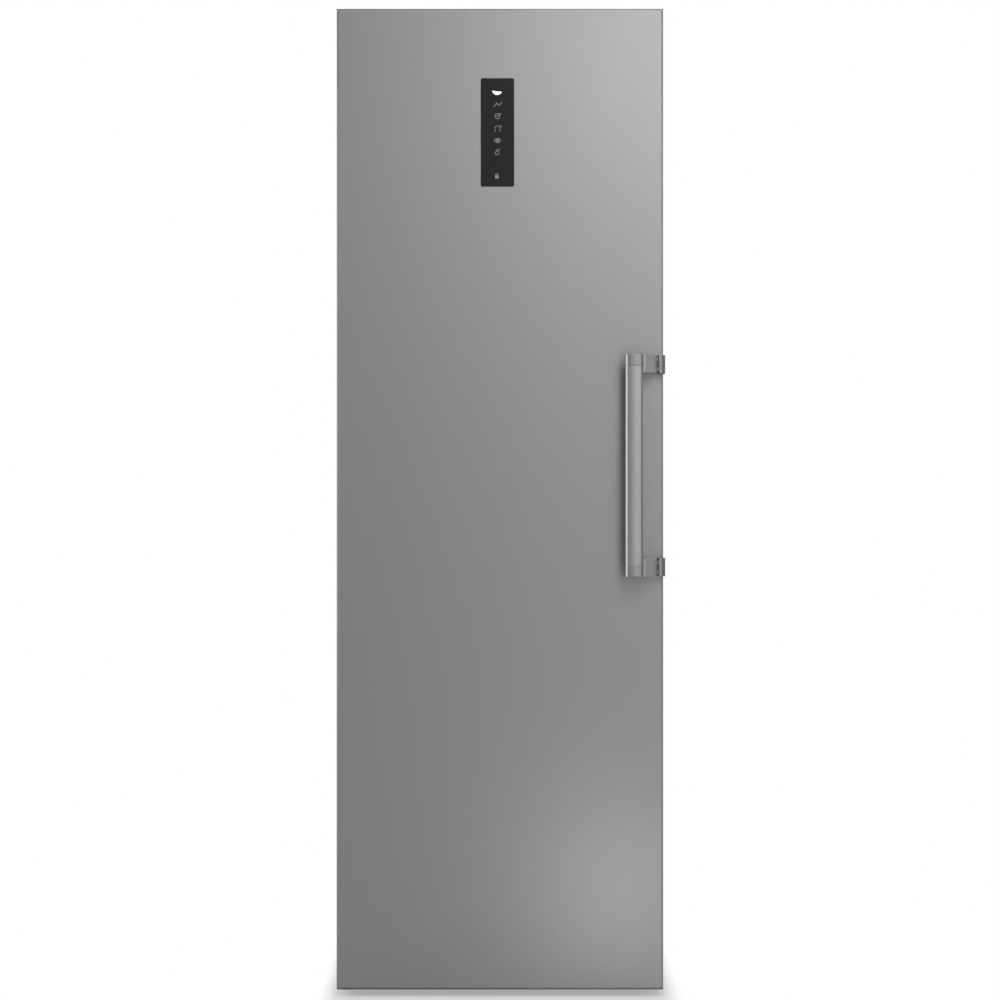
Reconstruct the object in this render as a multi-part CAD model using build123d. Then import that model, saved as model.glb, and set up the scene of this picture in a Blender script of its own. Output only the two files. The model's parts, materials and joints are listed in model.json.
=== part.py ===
from build123d import *
import os
from math import cos, radians, sin, sqrt

# A free-standing refrigerator with one tall door and no freezer.
# X runs to the right as the door is seen, Y to the back and Z up, in millimetres.
# The origin is on the floor, midway across and midway between the handle and the wall spacers.

# Overall sizes
width = 595.0
height = 1800.0
door_thickness = 52.0
seal_gap = 10.0
cabinet_depth = 549.0
handle_reach = 46.0
spacer_reach = 41.0

# Walls and sheets
side_wall = 52.0
top_wall = 50.0
back_wall = 50.0
floor_wall = 44.0
sheet = 0.8
chassis_sheet = 1.5
liner_sheet = 2.0
plastic_wall = 2.5

# Clearances, and how far a cutter runs past a face
gap = 0.3
running = 0.05
over = 1.0

# Levels over the floor
door_lift = 14.0
cabinet_lift = 32.0
chassis_height = 20.0
top_step = 14.0

# Compressor niche at the back of the cabinet
niche_depth = 168.0
niche_height = 188.0
niche_wall = 45.0

# Cabinet details
wrapper_corner = 6.0
bend_radius = 3.0
front_flange = 24.0
liner_corner = 22.0
rib_reach = 9.0
rib_height = 6.0
rib_inset = 20.0

# Screws
screw_radius = 2.5
screw_head = 5.0
screw_head_height = 3.0
screw_margin = 12.0

# Shelves
first_shelf = 850.0
top_shelf_space = 256.0
shelf_count = 4
glass_thickness = 4.0
glass_side_room = 1.0
shelf_room = 18.0
trim_depth = 16.0
trim_height = 11.0
trim_slot_room = 0.1

# Bottle rack
rack_level = 640.0
rack_wire = 5.0
scallop_count = 5
scallop_radius = 43.0
scallop_angle = 50.0
cross_inset = 40.0

# Crisper drawers
drawer_wall = 2.5
drawer_rim = 8.0
drawer_draft = 3.0
drawer_corner = 12.0
lower_drawer_height = 184.0
upper_drawer_height = 186.0
drawer_spacing = 12.0
cover_room = 8.0
drawer_lift = 3.0
drawer_back_room = 7.0
drawer_side_room = 2.5
grip_reach = 10.0
grip_lip = 14.0
grip_half = 110.0

# Air duct, fan and evaporator on the inner back wall
duct_depth = 30.0
duct_half = 150.0
duct_corner = 12.0
duct_low = 530.0
duct_top_room = 36.0
slot_length = 70.0
slot_height = 8.0
slot_shift = 82.0
fan_drop = 146.0
fan_radius = 48.0
fan_hub = 14.0
fan_depth = 9.0
blade_count = 7
blade_sheet = 1.2
blade_angle = 35.0
blade_root = 8.0
grille_radius = 32.0
grille_slots = 12
grille_slot_length = 28.0
grille_slot_width = 7.0
shaft_radius = 1.5
motor_half = 19.0
motor_corner = 6.0
motor_depth = 13.0
evaporator_half = 130.0
evaporator_low = 640.0
evaporator_high = 1300.0
channel_width = 9.0
channel_height = 3.0
channel_runs = 8

# Interior light under the ceiling
light_half = 80.0
light_depth = 46.0
light_drop = 12.0
light_inset = 70.0
light_corner = 5.0
light_bevel = 3.0
board_thickness = 1.6
board_room = 2.0
emitter_count = 5
emitter_pitch = 26.0
emitter_size = 5.0
emitter_height = 1.5

# Door
skin_radius = 4.0
skin_top_radius = 2.5
skin_top_return = 8.0
cap_lip = 3.0
cap_height = 20.0
dyke_height = 38.0
dyke_width = 28.0
dyke_clearance = 9.5
dyke_draft = 6.0
dyke_corner = 20.0
seal_width = 21.5
seal_foot = 9.0
seal_groove = 1.0
seal_waist = 3.0

# Door bins
bin_depth = 121.0
bin_corner = 24.0
bin_height = 80.0
bin_back_height = 48.0
bottle_bin_height = 112.0
middle_bin_level = 590.0
upper_bin_level = 960.0
dairy_bin_level = 1330.0
lug_reach = 9.0
lug_height = 6.0
lid_wall = 2.0
lid_room = 9.0
lid_pin_radius = 2.5
lid_pin_drop = 6.0
lid_ear = 6.0
lid_lip = 9.0
lid_overhang = 4.0

# Control panel in the door's face
panel_width = 60.5
panel_height = 197.0
panel_drop = 127.0
panel_shift = -4.5
panel_depth = 16.0
panel_front = 3.0
panel_corner = 3.0
panel_proud = 0.4
symbol_count = 7
symbol_pitch = 22.0
symbol_drop = 24.0
symbol_emitter = 6.0

# Hinges
axis_inset = 17.5
axis_depth = 28.0
pin_radius = 4.0
bush_wall = 3.0
bush_flange = 2.0
bush_flange_reach = 3.0
bush_length = 21.0
pocket_room = 3.0
pin_end_room = 1.0
bracket_plate = 3.0
bracket_setback = 6.0
bracket_depth = 40.0
bracket_reach = 60.0
tongue_half = 10.5
cover_clear = 1.5
cover_drop = 2.0
cover_corner = 6.0

# Handle
bar_width = 32.0
bar_depth = 16.0
bar_edge = 5.0
bar_inset = 55.5
handle_top = 1168.0
handle_length = 401.0
end_cap_height = 21.0
arm_height = 33.0
arm_wall = 4.0
arm_clear = 1.2
arm_bevel = 2.0
arm_shoulder = 7.0
arm_drop = 19.0
arm_heel = 14.0
base_overhang = 2.5
base_width = 12.0
base_front = 17.0
base_shank = 24.0
base_screw_offset = 11.0
lug_width = 16.0
lug_front = 14.0
lug_room = 2.5
pivot_shift = 8.0
pivot_front = 8.0
pivot_radius = 2.5
split_gap = 3.0
pusher_width = 4.0
pusher_height = 8.0
pusher_tip = 5.5
finger_half = 4.5
finger_reach = 15.4
finger_root = 4.0
finger_back = 3.0

# Feet and rollers
foot_radius = 19.0
foot_pad = 10.0
stud_radius = 5.0
boss_radius = 10.0
boss_rise = 6.0
foot_inset = 42.5
foot_setback = 36.0
roller_radius = 15.0
roller_width = 18.0
roller_inset = 67.5
roller_setback = 23.0
axle_radius = 3.0
ear_sheet = 3.0
ear_half = 8.0

# Kick plate
kick_low = 9.0
kick_sheet = 4.0
kick_slots = 8
kick_slot_pitch = 55.0
kick_slot_length = 24.0
kick_slot_height = 6.0

# Cooling circuit
condenser_runs = 14
condenser_pitch = 64.0
condenser_low = 620.0
condenser_half = 215.0
condenser_tube = 6.0
condenser_offset = 18.0
wire_size = 1.6
wire_pitch = 18.0
wire_count = 18
spacer_half = 14.0
spacer_width = 20.0
spacer_cut = 5.0
pipe_size = 6.0
capillary_size = 3.0
compressor_radius = 74.0
compressor_height = 132.0
compressor_x = -60.0
port_height = 30.0
dome_height = 22.0
foot_plate = 2.5
foot_plate_x = 92.0
foot_plate_y = 68.0
foot_plate_corner = 10.0
grommet_height = 12.0
grommet_radius = 9.0
terminal_reach = 26.0
terminal_half = 32.0
terminal_height = 54.0
terminal_corner = 8.0
tray_height = 30.0
tray_half = 96.0
tray_corner = 12.0
tray_room = 7.5
drain_shift = 52.0
drain_radius = 8.0
drain_bore = 5.0
drier_radius = 10.0
drier_length = 90.0

# Mains inlet
inlet_x = 190.0
inlet_half = 14.0
inlet_height = 22.0
inlet_depth = 24.0
inlet_corner = 3.0
inlet_floor = 4.0
inlet_pin = 2.0
inlet_pin_height = 4.0
inlet_pin_length = 15.0
inlet_pin_pitch = 7.0
inlet_pin_rise = 2.0

# Places worked out from the sizes above
half = width / 2
front_y = -(handle_reach + door_thickness + seal_gap + cabinet_depth + spacer_reach) / 2
door_front = front_y + handle_reach
door_back = door_front + door_thickness
cabinet_front = door_back + seal_gap
cabinet_back = cabinet_front + cabinet_depth
rear_y = cabinet_back + spacer_reach
cabinet_top = height - top_step
chassis_top = cabinet_lift + chassis_height
inner_half = half - side_wall
liner_floor = chassis_top + floor_wall
liner_ceiling = cabinet_top - top_wall
liner_back = cabinet_back - back_wall
niche_front = cabinet_back - niche_depth
niche_top = chassis_top + niche_height
step_front = niche_front - niche_wall
step_top = niche_top + niche_wall
bin_front = door_back + bin_depth
shelf_front = bin_front + shelf_room
duct_front = liner_back - duct_depth
shelf_rear = duct_front - gap
duct_high = liner_ceiling - duct_top_room
fan_level = liner_ceiling - fan_drop
shelf_pitch = (liner_ceiling - top_shelf_space - first_shelf) / (shelf_count - 1)
axis_x = -half + axis_inset
axis_y = door_front + axis_depth
foot_x = half - foot_inset
foot_y = cabinet_front + foot_setback
roller_x = half - roller_inset
roller_y = cabinet_back - roller_setback
tongue_top = cabinet_top + bracket_plate
lower_tongue = door_lift - bush_flange - gap - bracket_plate
pocket_floor = cabinet_top - bush_flange - gap
base_right = half + base_overhang
base_left = base_right - base_width
arm_split = base_left - split_gap
bar_centre = half - bar_inset


# Shared forms

def block(x, y, z):
    """A block between a low and a high limit on each axis."""
    sizes = [high - low for low, high in (x, y, z)]
    return Pos(sum(x) / 2, sum(y) / 2, sum(z) / 2) * Box(*sizes)


def rect(across, up, radius=0):
    """A rectangle between two limits each way, with rounded corners where a radius is given."""
    wide = across[1] - across[0]
    tall = up[1] - up[0]
    shape = RectangleRounded(wide, tall, radius) if radius else Rectangle(wide, tall)
    return Pos(sum(across) / 2, sum(up) / 2) * shape


def bevelled(across, up, cut):
    """A rectangle between two limits each way, with its corners cut off."""
    return chamfer(rect(across, up).vertices(), cut)


def flat_cut(radius):
    """The leg of a flat that clears a rounded corner of the same place from inside."""
    return radius * (2 - sqrt(2))


def along_x(sketch, x):
    """A profile with Y across and Z up, drawn out between two X limits."""
    return extrude(Plane.YZ.offset(x[0]) * sketch, x[1] - x[0], dir=(1, 0, 0))


def along_y(sketch, y):
    """A profile with X across and Z up, drawn out between two Y limits."""
    return extrude(Plane.XZ.offset(-y[0]) * sketch, y[1] - y[0], dir=(0, 1, 0))


def along_z(sketch, z):
    """A plan with X across and Y up, drawn out between two Z limits."""
    return extrude(Pos(0, 0, z[0]) * sketch, z[1] - z[0], dir=(0, 0, 1))


def upright(x, y, z, radius, sides=0):
    """A bar standing between two Z limits, round or with flats that touch the same circle."""
    plan = RegularPolygon(radius, sides, major_radius=False) if sides else Circle(radius)
    return along_z(Pos(x, y) * plan, z)


def shaft(radius):
    """The section of a small shaft: flats whose corners lie on its circle, so that it turns in a hole."""
    return RegularPolygon(radius, 12)


def both_sides(shape):
    """A shape and its mirror image on the other side of the middle plane."""
    return [shape, mirror(shape, Plane.YZ)]


def group(shapes):
    """Separate solids kept together in one node."""
    return Compound([solid for shape in shapes for solid in shape.solids()])


def pipe(points, cut, section):
    """A tube of the given section through the given points, whose bends are short straight runs."""
    route = [Vector(*point) for point in points]
    bends = [route[0]]
    for before, corner, after in zip(route, route[1:], route[2:]):
        bends.append(corner + (before - corner).normalized() * cut)
        bends.append(corner + (after - corner).normalized() * cut)
    line = Polyline(*bends, route[-1])
    start = Plane(origin=line @ 0, x_dir=(0, 1, 0), z_dir=line % 0)
    return sweep(start * section, path=line, transition=Transition.RIGHT)


# Screws

def screw(shank):
    """A screw on the origin plane: a six-sided head over a plain shank with as many flats."""
    head = along_z(RegularPolygon(screw_head, 6), (0, screw_head_height))
    return head + along_z(RegularPolygon(screw_radius, 6), (-shank, 0))


def screw_holes(places, shank):
    """Holes that clear the shanks and heads of the screws at the given places."""
    hole = along_z(RegularPolygon(screw_radius + running, 6), (-shank - gap, gap))
    hole += along_z(RegularPolygon(screw_head + gap, 6), (0, 2 * screw_head_height))
    return group([place * hole for place in places])


# Cabinet shell

def cabinet_outline(inset, corner, ease=fillet):
    """The cabinet seen from the front, drawn in by an inset, with its top corners eased."""
    shape = rect((inset - half, half - inset), (cabinet_lift - inset, cabinet_top - inset))
    return ease(shape.vertices().sort_by(Axis.Y)[-2:], corner)


def make_outer_wrapper():
    """One sheet folded over both sides and the top, with a narrow flange round its front."""
    shell = along_y(cabinet_outline(0, wrapper_corner), (cabinet_front, cabinet_back))
    hollow = cabinet_outline(sheet, wrapper_corner - sheet)
    shell -= along_y(hollow, (cabinet_front + sheet, cabinet_back + sheet))
    mouth = rect((front_flange - half, half - front_flange), (0, cabinet_top - front_flange))
    mouth += rect((sheet - half, half - sheet), (0, chassis_top + gap))
    shell -= along_y(mouth, (cabinet_front - sheet, cabinet_front + 2 * sheet))
    return shell - screw_holes(upper_screws(), upper_shank())


def make_back_panel():
    """One bent sheet: the back wall, the roof of the compressor niche and its front wall."""
    rear = cabinet_back - sheet / 2
    roof = niche_top + sheet / 2
    inner = niche_front - sheet / 2
    route = FilletPolyline((rear, cabinet_top), (rear, roof), (inner, roof), (inner, chassis_top + gap),
                           radius=bend_radius)
    panel = along_x(trace(route, sheet), (-half, half))
    outline = cabinet_outline(sheet + gap, flat_cut(wrapper_corner), chamfer)
    return (panel & along_y(outline, (niche_front - sheet, cabinet_back))) - drain_hole(drain_radius + gap)


def cavity(grow, corner, ease=fillet):
    """The cold room as a solid, with its step over the compressor, grown outwards by a wall."""
    low = liner_floor - grow
    high = liner_ceiling + grow
    back = liner_back + grow
    ledge = step_top - grow
    riser = step_front + grow
    front = cabinet_front
    corners = [(front, low), (riser, low), (riser, ledge), (back, ledge), (back, high), (front, high)]
    side = ease(Polygon(*corners).vertices().filter_by(lambda v: v.X > front + grow), corner)
    plan = rect((-inner_half - grow, inner_half + grow), (front, back))
    plan = ease(plan.vertices().sort_by(Axis.Y)[-2:], corner)
    return along_x(side, (-half, half)) & along_z(plan, (0, height))


def foam_walls():
    """A region for each wall of the cabinet, so that every slab of foam is a plain one."""
    side = inner_half + liner_sheet
    across = (-side, side)
    deep = (cabinet_front, cabinet_back)
    riser = step_front + liner_sheet
    ledge = step_top - liner_sheet
    ceiling = liner_ceiling + liner_sheet
    roof = niche_top + sheet
    walls = both_sides(block((side, half), deep, (0, height)))
    walls.append(block(across, deep, (ceiling, height)))
    walls.append(block(across, (liner_back + liner_sheet, cabinet_back), (ledge, ceiling)))
    walls.append(block(across, (riser, cabinet_back), (roof, ledge)))
    walls.append(block(across, (riser, cabinet_back), (0, roof)))
    walls.append(block(across, (cabinet_front, riser), (0, liner_floor - liner_sheet)))
    return walls


def make_cabinet_insulation():
    """Foam that fills the space between the outer sheets and the liner, as a slab in each wall."""
    front = cabinet_front + liner_sheet
    back = cabinet_back - sheet
    roof = niche_top + sheet
    inner = niche_front - sheet
    top = cabinet_top - sheet
    low = chassis_top
    corners = [(front, low), (inner, low), (inner, roof), (back, roof), (back, top), (front, top)]
    foam = along_x(Polygon(*corners), (sheet - half, half - sheet))
    foam = chamfer(foam.edges().filter_by(Axis.Y).group_by(Axis.Z)[-1], wrapper_corner)
    heel = foam.edges().filter_by(Axis.X).group_by(Axis.Y)[-1].sort_by(Axis.Z)[0]
    foam = chamfer(heel, bend_radius)
    foam -= cavity(liner_sheet, flat_cut(liner_corner), chamfer) + drain_hole(drain_radius + gap)
    return group([foam & wall for wall in foam_walls()])


def rib_pair(level, low, high):
    """A pair of moulded ribs on the side walls, whose tops are at a level."""
    x = (inner_half - rib_reach, inner_half + liner_sheet / 2)
    return both_sides(block(x, (low, high), (level - rib_height, level)))


def make_inner_liner():
    """The moulded inner box with a lip round its mouth and ribs that carry what slides in."""
    lip_half = half - front_flange - gap
    lip = along_y(rect((-lip_half, lip_half), (chassis_top + gap, cabinet_top - front_flange - gap)),
                  (cabinet_front, cabinet_front + liner_sheet))
    liner = cavity(liner_sheet, flat_cut(liner_corner), chamfer) + lip - cavity(0, liner_corner)
    low = shelf_front + rib_inset
    for level in shelf_levels() + [rack_level, crisper_cover_level()]:
        liner += rib_pair(level, low, shelf_rear - rib_inset)
    for level, depth in drawer_runners():
        liner += rib_pair(level, low, shelf_front + depth - rib_inset)
    return liner - drain_hole(drain_radius + gap)


def shelf_levels():
    """The heights of the undersides of the glass shelves."""
    return [first_shelf + shelf_pitch * index for index in range(shelf_count)]


# Chassis

def make_base_frame():
    """A pressed steel tray turned upside down, with foot bosses and ears for the rollers."""
    side = half - sheet - gap
    frame = block((-side, side), (cabinet_front, cabinet_back), (cabinet_lift, chassis_top))
    inner_side = side - chassis_sheet
    inner_y = (cabinet_front + chassis_sheet, cabinet_back - chassis_sheet)
    under = chassis_top - chassis_sheet
    frame -= block((-inner_side, inner_side), inner_y, (0, under))
    frame += both_sides(upright(foot_x, foot_y, (cabinet_lift + boss_rise, under), boss_radius, 8))
    frame += both_sides(roller_ear(under))
    frame -= both_sides(upright(foot_x, foot_y, (0, height), stud_radius + running, 12))
    return frame - screw_holes(lower_screws(), lower_shank())


def roller_ear(top):
    """An ear beside a roller, with a hole for the axle."""
    low = roller_radius - ear_half
    profile = bevelled((roller_y - ear_half, roller_y + ear_half), (low, top + ear_half), flat_cut(ear_half))
    profile &= rect((roller_y - ear_half, roller_y + ear_half), (low, top))
    profile -= Pos(roller_y, roller_radius) * RegularPolygon(axle_radius + running, 12, major_radius=False)
    outer = roller_x - roller_width / 2 - gap
    return along_x(profile, (outer - ear_sheet, outer))


def make_rear_rollers():
    """Two rollers on the ends of one axle that turns in the base frame's ears."""
    inner = roller_x - roller_width / 2
    outer = roller_x + roller_width / 2
    tread = roller_radius
    axle = axle_radius
    profile = Polygon((0, -outer), (tread, -outer), (tread, -inner), (axle, -inner),
                      (axle, inner), (tread, inner), (tread, outer), (0, outer))
    return Pos(0, roller_y, roller_radius) * Rot(0, 0, 90) * revolve(profile, Axis.Y)


def make_foot():
    """A levelling foot: a pad with flats to turn it by, and a stud that turns in the base frame."""
    pad = upright(foot_x, foot_y, (0, foot_pad), foot_radius, 12)
    return pad + along_z(Pos(foot_x, foot_y) * shaft(stud_radius), (foot_pad, chassis_top - gap))


def make_kick_plate():
    """The strip that closes the space under the cabinet, with slots for the cooling air."""
    y = (cabinet_front, cabinet_front + kick_sheet)
    side = half - front_flange / 2
    plate = along_y(rect((-side, side), (kick_low, cabinet_lift - gap)), y)
    reach = kick_slot_length / 2
    middle = (kick_low + cabinet_lift) / 2
    slot_z = (middle - kick_slot_height / 2, middle + kick_slot_height / 2)
    cutter = block((-reach, reach), (y[0] - over, y[1] + over), slot_z)
    return plate - [place * cutter for place in GridLocations(kick_slot_pitch, 1, kick_slots, 1)]


# Hinges

def screw_line():
    """The places across the cabinet of the two screws in each hinge bracket."""
    return (axis_x + tongue_half + screw_margin, axis_x + bracket_reach - screw_margin)


def upper_screws():
    """The screws that hold the upper bracket down on the cabinet's top."""
    row = cabinet_front + bracket_setback + bracket_depth / 2
    return [Pos(x, row, tongue_top) for x in screw_line()]


def lower_screws():
    """The screws that hold the lower bracket to the base frame's front."""
    level = (cabinet_lift + chassis_top) / 2
    return [Pos(x, cabinet_front - bracket_plate, level) * Rot(90, 0, 0) for x in screw_line()]


def upper_shank():
    """The length of an upper screw, through the bracket and the wrapper."""
    return bracket_plate + sheet


def lower_shank():
    """The length of a lower screw, through the bracket and the base frame."""
    return bracket_plate + chassis_sheet


def make_cabinet_screws():
    """The screws of both hinge brackets."""
    upper = screw(upper_shank())
    lower = screw(lower_shank())
    return group([place * upper for place in upper_screws()] + [place * lower for place in lower_screws()])


def tongue_plan(rear):
    """A hinge tongue seen from above: a strip with a round nose about the pin's hole."""
    strip = rect((axis_x - tongue_half, axis_x + tongue_half), (axis_y, rear))
    return strip + Pos(axis_x, axis_y) * Circle(tongue_half)


def pin_hole():
    """The hole for a hinge pin in a bracket, seen from above."""
    return Pos(axis_x, axis_y) * RegularPolygon(pin_radius + running, 12, major_radius=False)


def make_upper_hinge_bracket():
    """A flat plate screwed to the cabinet's top, whose tongue reaches over the door."""
    front = cabinet_front + bracket_setback
    rear = front + bracket_depth
    plan = tongue_plan(rear) + rect((axis_x, axis_x + bracket_reach), (front, rear)) - pin_hole()
    return along_z(plan, (cabinet_top, tongue_top)) - screw_holes(upper_screws(), upper_shank())


def make_lower_hinge_bracket():
    """An angle bracket: a leg on the base frame's front and a tongue under the door."""
    tongue = along_z(tongue_plan(cabinet_front) - pin_hole(), (lower_tongue, lower_tongue + bracket_plate))
    leg = rect((axis_x - tongue_half, axis_x + bracket_reach), (lower_tongue, chassis_top - gap))
    bracket = tongue + along_y(leg, (cabinet_front - bracket_plate, cabinet_front))
    return bracket - screw_holes(lower_screws(), lower_shank())


def make_hinge_pins():
    """The two pins the door turns on, one held by each bracket."""
    upper = upright(axis_x, axis_y, (pocket_floor - bush_length + pin_end_room, tongue_top), pin_radius)
    lower = upright(axis_x, axis_y, (lower_tongue, door_lift + bush_length - pin_end_room), pin_radius)
    return group([upper, lower])


def bush_z(face, up):
    """The levels of a bush's body and of its flange, from the face that its flange stands on."""
    return sorted((face, face - up * bush_length)), sorted((face, face + up * bush_flange))


def bush(face, up):
    """A flanged bush about the door's axis, with flats that keep it from turning in its cap."""
    body_z, flange_z = bush_z(face, up)
    outer = pin_radius + running + bush_wall
    body = upright(axis_x, axis_y, body_z, outer, 6)
    flange = upright(axis_x, axis_y, flange_z, outer + bush_flange_reach, 6)
    return body + flange - upright(axis_x, axis_y, (0, height), pin_radius + running)


def make_hinge_bushes():
    """Plain bearings in the door's two caps."""
    return group([bush(pocket_floor, 1), bush(door_lift, -1)])


def make_hinge_cover():
    """A moulded cover over the upper bracket, slotted for its tongue."""
    margin = cover_clear + plastic_wall
    x = (axis_x - tongue_half - margin, axis_x + bracket_reach + margin)
    y = (cabinet_front + bracket_setback - margin, cabinet_front + bracket_setback + bracket_depth + margin)
    top = height - cover_drop
    outer = along_z(bevelled(x, y, flat_cut(cover_corner)), (cabinet_top, top))
    outer = chamfer(outer.faces().sort_by(Axis.Z)[-1].edges(), plastic_wall)
    wall = plastic_wall
    inner_x = (x[0] + wall, x[1] - wall)
    inner_y = (y[0] + wall, y[1] - wall)
    inner = along_z(bevelled(inner_x, inner_y, wall), (cabinet_top - over, top - wall))
    slot_x = (axis_x - tongue_half - gap, axis_x + tongue_half + gap)
    return outer - inner - block(slot_x, (y[0] - over, y[1] - margin), (0, tongue_top + gap))


# Shelves

def make_glass_shelf(level):
    """A glass shelf that lies on a pair of ribs."""
    side = inner_half - glass_side_room
    edge = trim_depth / 2
    return block((-side, side), (shelf_front + edge, shelf_rear - edge), (level, level + glass_thickness))


def make_shelf_trims():
    """A front and a rear trim on each glass shelf, with their outer edges bevelled."""
    side = inner_half - rib_reach - gap
    low = (glass_thickness - trim_height) / 2
    profile = rect((shelf_front, shelf_front + trim_depth), (low, low + trim_height))
    profile = chamfer(profile.vertices().sort_by(Axis.X)[:2], flat_cut(trim_height / 2))
    slot_y = (shelf_front + trim_depth / 2 - gap, shelf_front + 2 * trim_depth)
    profile -= rect(slot_y, (-trim_slot_room, glass_thickness + trim_slot_room))
    front = along_x(profile, (-side, side))
    rear = mirror(front, Plane.XZ.offset(-(shelf_front + shelf_rear) / 2))
    return group([Pos(0, 0, level) * trim for level in shelf_levels() for trim in (front, rear)])


def crisper_cover_level():
    """The underside of the glass over the drawers."""
    return upper_drawer_floor() + upper_drawer_height + cover_room


def make_crisper_cover():
    """The glass that covers the upper drawer."""
    side = inner_half - glass_side_room
    level = crisper_cover_level()
    return block((-side, side), (shelf_front, shelf_rear), (level, level + glass_thickness))


def scallop(angle, radius):
    """A point of a scallop's arc at an angle from its lowest point, below the crests."""
    crest = scallop_radius * cos(radians(scallop_angle))
    return radius * sin(radians(angle)), crest - radius * cos(radians(angle))


def make_bottle_rack():
    """A welded wire rack: two scalloped cross wires carry straight wires that cradle bottles."""
    side = inner_half - gap - rack_wire / 2
    pitch = 2 * (inner_half - rib_reach - rack_wire) / scallop_count
    middles = [(index - (scallop_count - 1) / 2) * pitch for index in range(scallop_count)]
    y = (shelf_front + rib_inset, shelf_rear - rib_inset)
    edge = side - rack_wire / 2
    step = scallop_angle / 2
    points = [(-edge, 0)]
    for middle in middles:
        for angle in (-2 * step, -step, 0, step, 2 * step):
            across, up = scallop(angle, scallop_radius)
            points.append((middle + across, up))
    points.append((edge, 0))
    line = Polyline(*[(x, 0, z) for x, z in points])
    start = Plane(origin=line @ 0, x_dir=(0, 1, 0), z_dir=(1, 0, 0))
    cross = sweep(start * Rectangle(rack_wire, rack_wire), path=line, transition=Transition.RIGHT)
    wires = [Pos(0, y[0] + cross_inset, 0) * cross, Pos(0, y[1] - cross_inset, 0) * cross]
    wire = block((-rack_wire / 2, rack_wire / 2), y, (-rack_wire / 2, rack_wire / 2))
    seat = scallop_radius * cos(radians(step / 2)) - rack_wire
    for middle in middles:
        for angle in (-1.5 * step, 1.5 * step):
            across, up = scallop(angle, seat)
            wires.append(Pos(middle + across, 0, up) * Rot(0, -angle, 0) * wire)
    wires += [Pos(-side, 0, 0) * wire, Pos(side, 0, 0) * wire]
    return group([Pos(0, 0, rack_level + rack_wire / 2) * piece for piece in wires])


# Crisper drawers

def lower_drawer_floor():
    """The underside of the lower drawer."""
    return liner_floor + drawer_lift


def upper_drawer_floor():
    """The underside of the upper drawer."""
    return lower_drawer_floor() + lower_drawer_height + drawer_spacing


def drawer_runners():
    """The levels and lengths of the liner's ribs under the drawers' rims."""
    lower = lower_drawer_floor() + lower_drawer_height - drawer_rim - gap
    upper = upper_drawer_floor() + upper_drawer_height - drawer_rim - gap
    return [(lower, lower_drawer_depth()), (upper, upper_drawer_depth())]


def lower_drawer_depth():
    """The lower drawer's depth, which ends short of the compressor step."""
    return step_front - drawer_back_room - shelf_front


def upper_drawer_depth():
    """The upper drawer's depth, as deep as the shelves."""
    return shelf_rear - drawer_back_room - shelf_front


def drawer_form(level, tall, depth, inset):
    """A drawer's outside or inside as a solid: upright in front, drawn in at its sides and back."""
    side = inner_half - rib_reach - drawer_side_room - inset
    front = shelf_front + grip_reach + inset
    back = shelf_front + depth - inset
    top = level + tall + inset
    plan = bevelled((-side, side), (front - tall, back), flat_cut(drawer_corner))
    form = extrude(Pos(0, 0, top) * plan, tall, dir=(0, 0, -1), taper=drawer_draft)
    return form & block((-side, side), (front, back), (0, height))


def make_drawer(level, tall, depth):
    """A moulded drawer: its body, a rim that slides on the liner's ribs and a grip."""
    wall = drawer_wall
    front = shelf_front + grip_reach
    top = level + tall
    rim_side = inner_half - 2 * gap
    rim_z = (top - drawer_rim, top - drawer_rim + wall)
    rim = block((-rim_side, rim_side), (front + wall, shelf_front + depth), rim_z)
    body = drawer_form(level, tall, depth, 0) + rim - drawer_form(level, tall, depth, wall)
    hook = rect((shelf_front, front + wall), (top - grip_lip, top))
    hook -= rect((shelf_front + wall, front), (0, top - wall))
    return body + along_x(hook, (-grip_half, grip_half))


# Air duct, fan and evaporator

def make_air_duct_cover():
    """A moulded cover on the back wall, hollow behind, with outlet slots and a fan grille."""
    wall = plastic_wall
    outer = bevelled((-duct_half, duct_half), (duct_low, duct_high), duct_corner)
    inner = bevelled((wall - duct_half, duct_half - wall), (duct_low + wall, duct_high - wall), duct_corner)
    cover = along_y(outer, (duct_front, liner_back)) - along_y(inner, (duct_front + wall, liner_back + over))
    through = (duct_front - over, duct_front + wall + over)
    slot = along_y(Rectangle(slot_length, slot_height), through)
    outlets = [first_shelf + shelf_pitch * (index - 0.5) for index in range(shelf_count)]
    cover -= [Pos(x, 0, level) * slot for level in outlets for x in (-slot_shift, slot_shift)]
    vent = along_y(Pos(grille_radius, 0) * Rectangle(grille_slot_length, grille_slot_width), through)
    turn = 360 / grille_slots
    return cover - [Pos(0, 0, fan_level) * Rot(0, turn * index, 0) * vent for index in range(grille_slots)]


def make_fan_motor():
    """The fan's motor on the liner's back wall, with its shaft."""
    plan = bevelled((-motor_half, motor_half), (fan_level - motor_half, fan_level + motor_half), motor_corner)
    face = liner_back - motor_depth
    axle = along_y(Pos(0, fan_level) * shaft(shaft_radius), (rotor_front(), face))
    return along_y(plan, (face, liner_back)) + axle


def rotor_front():
    """The front of the fan, behind its grille."""
    return duct_front + plastic_wall + 3 * gap


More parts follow.
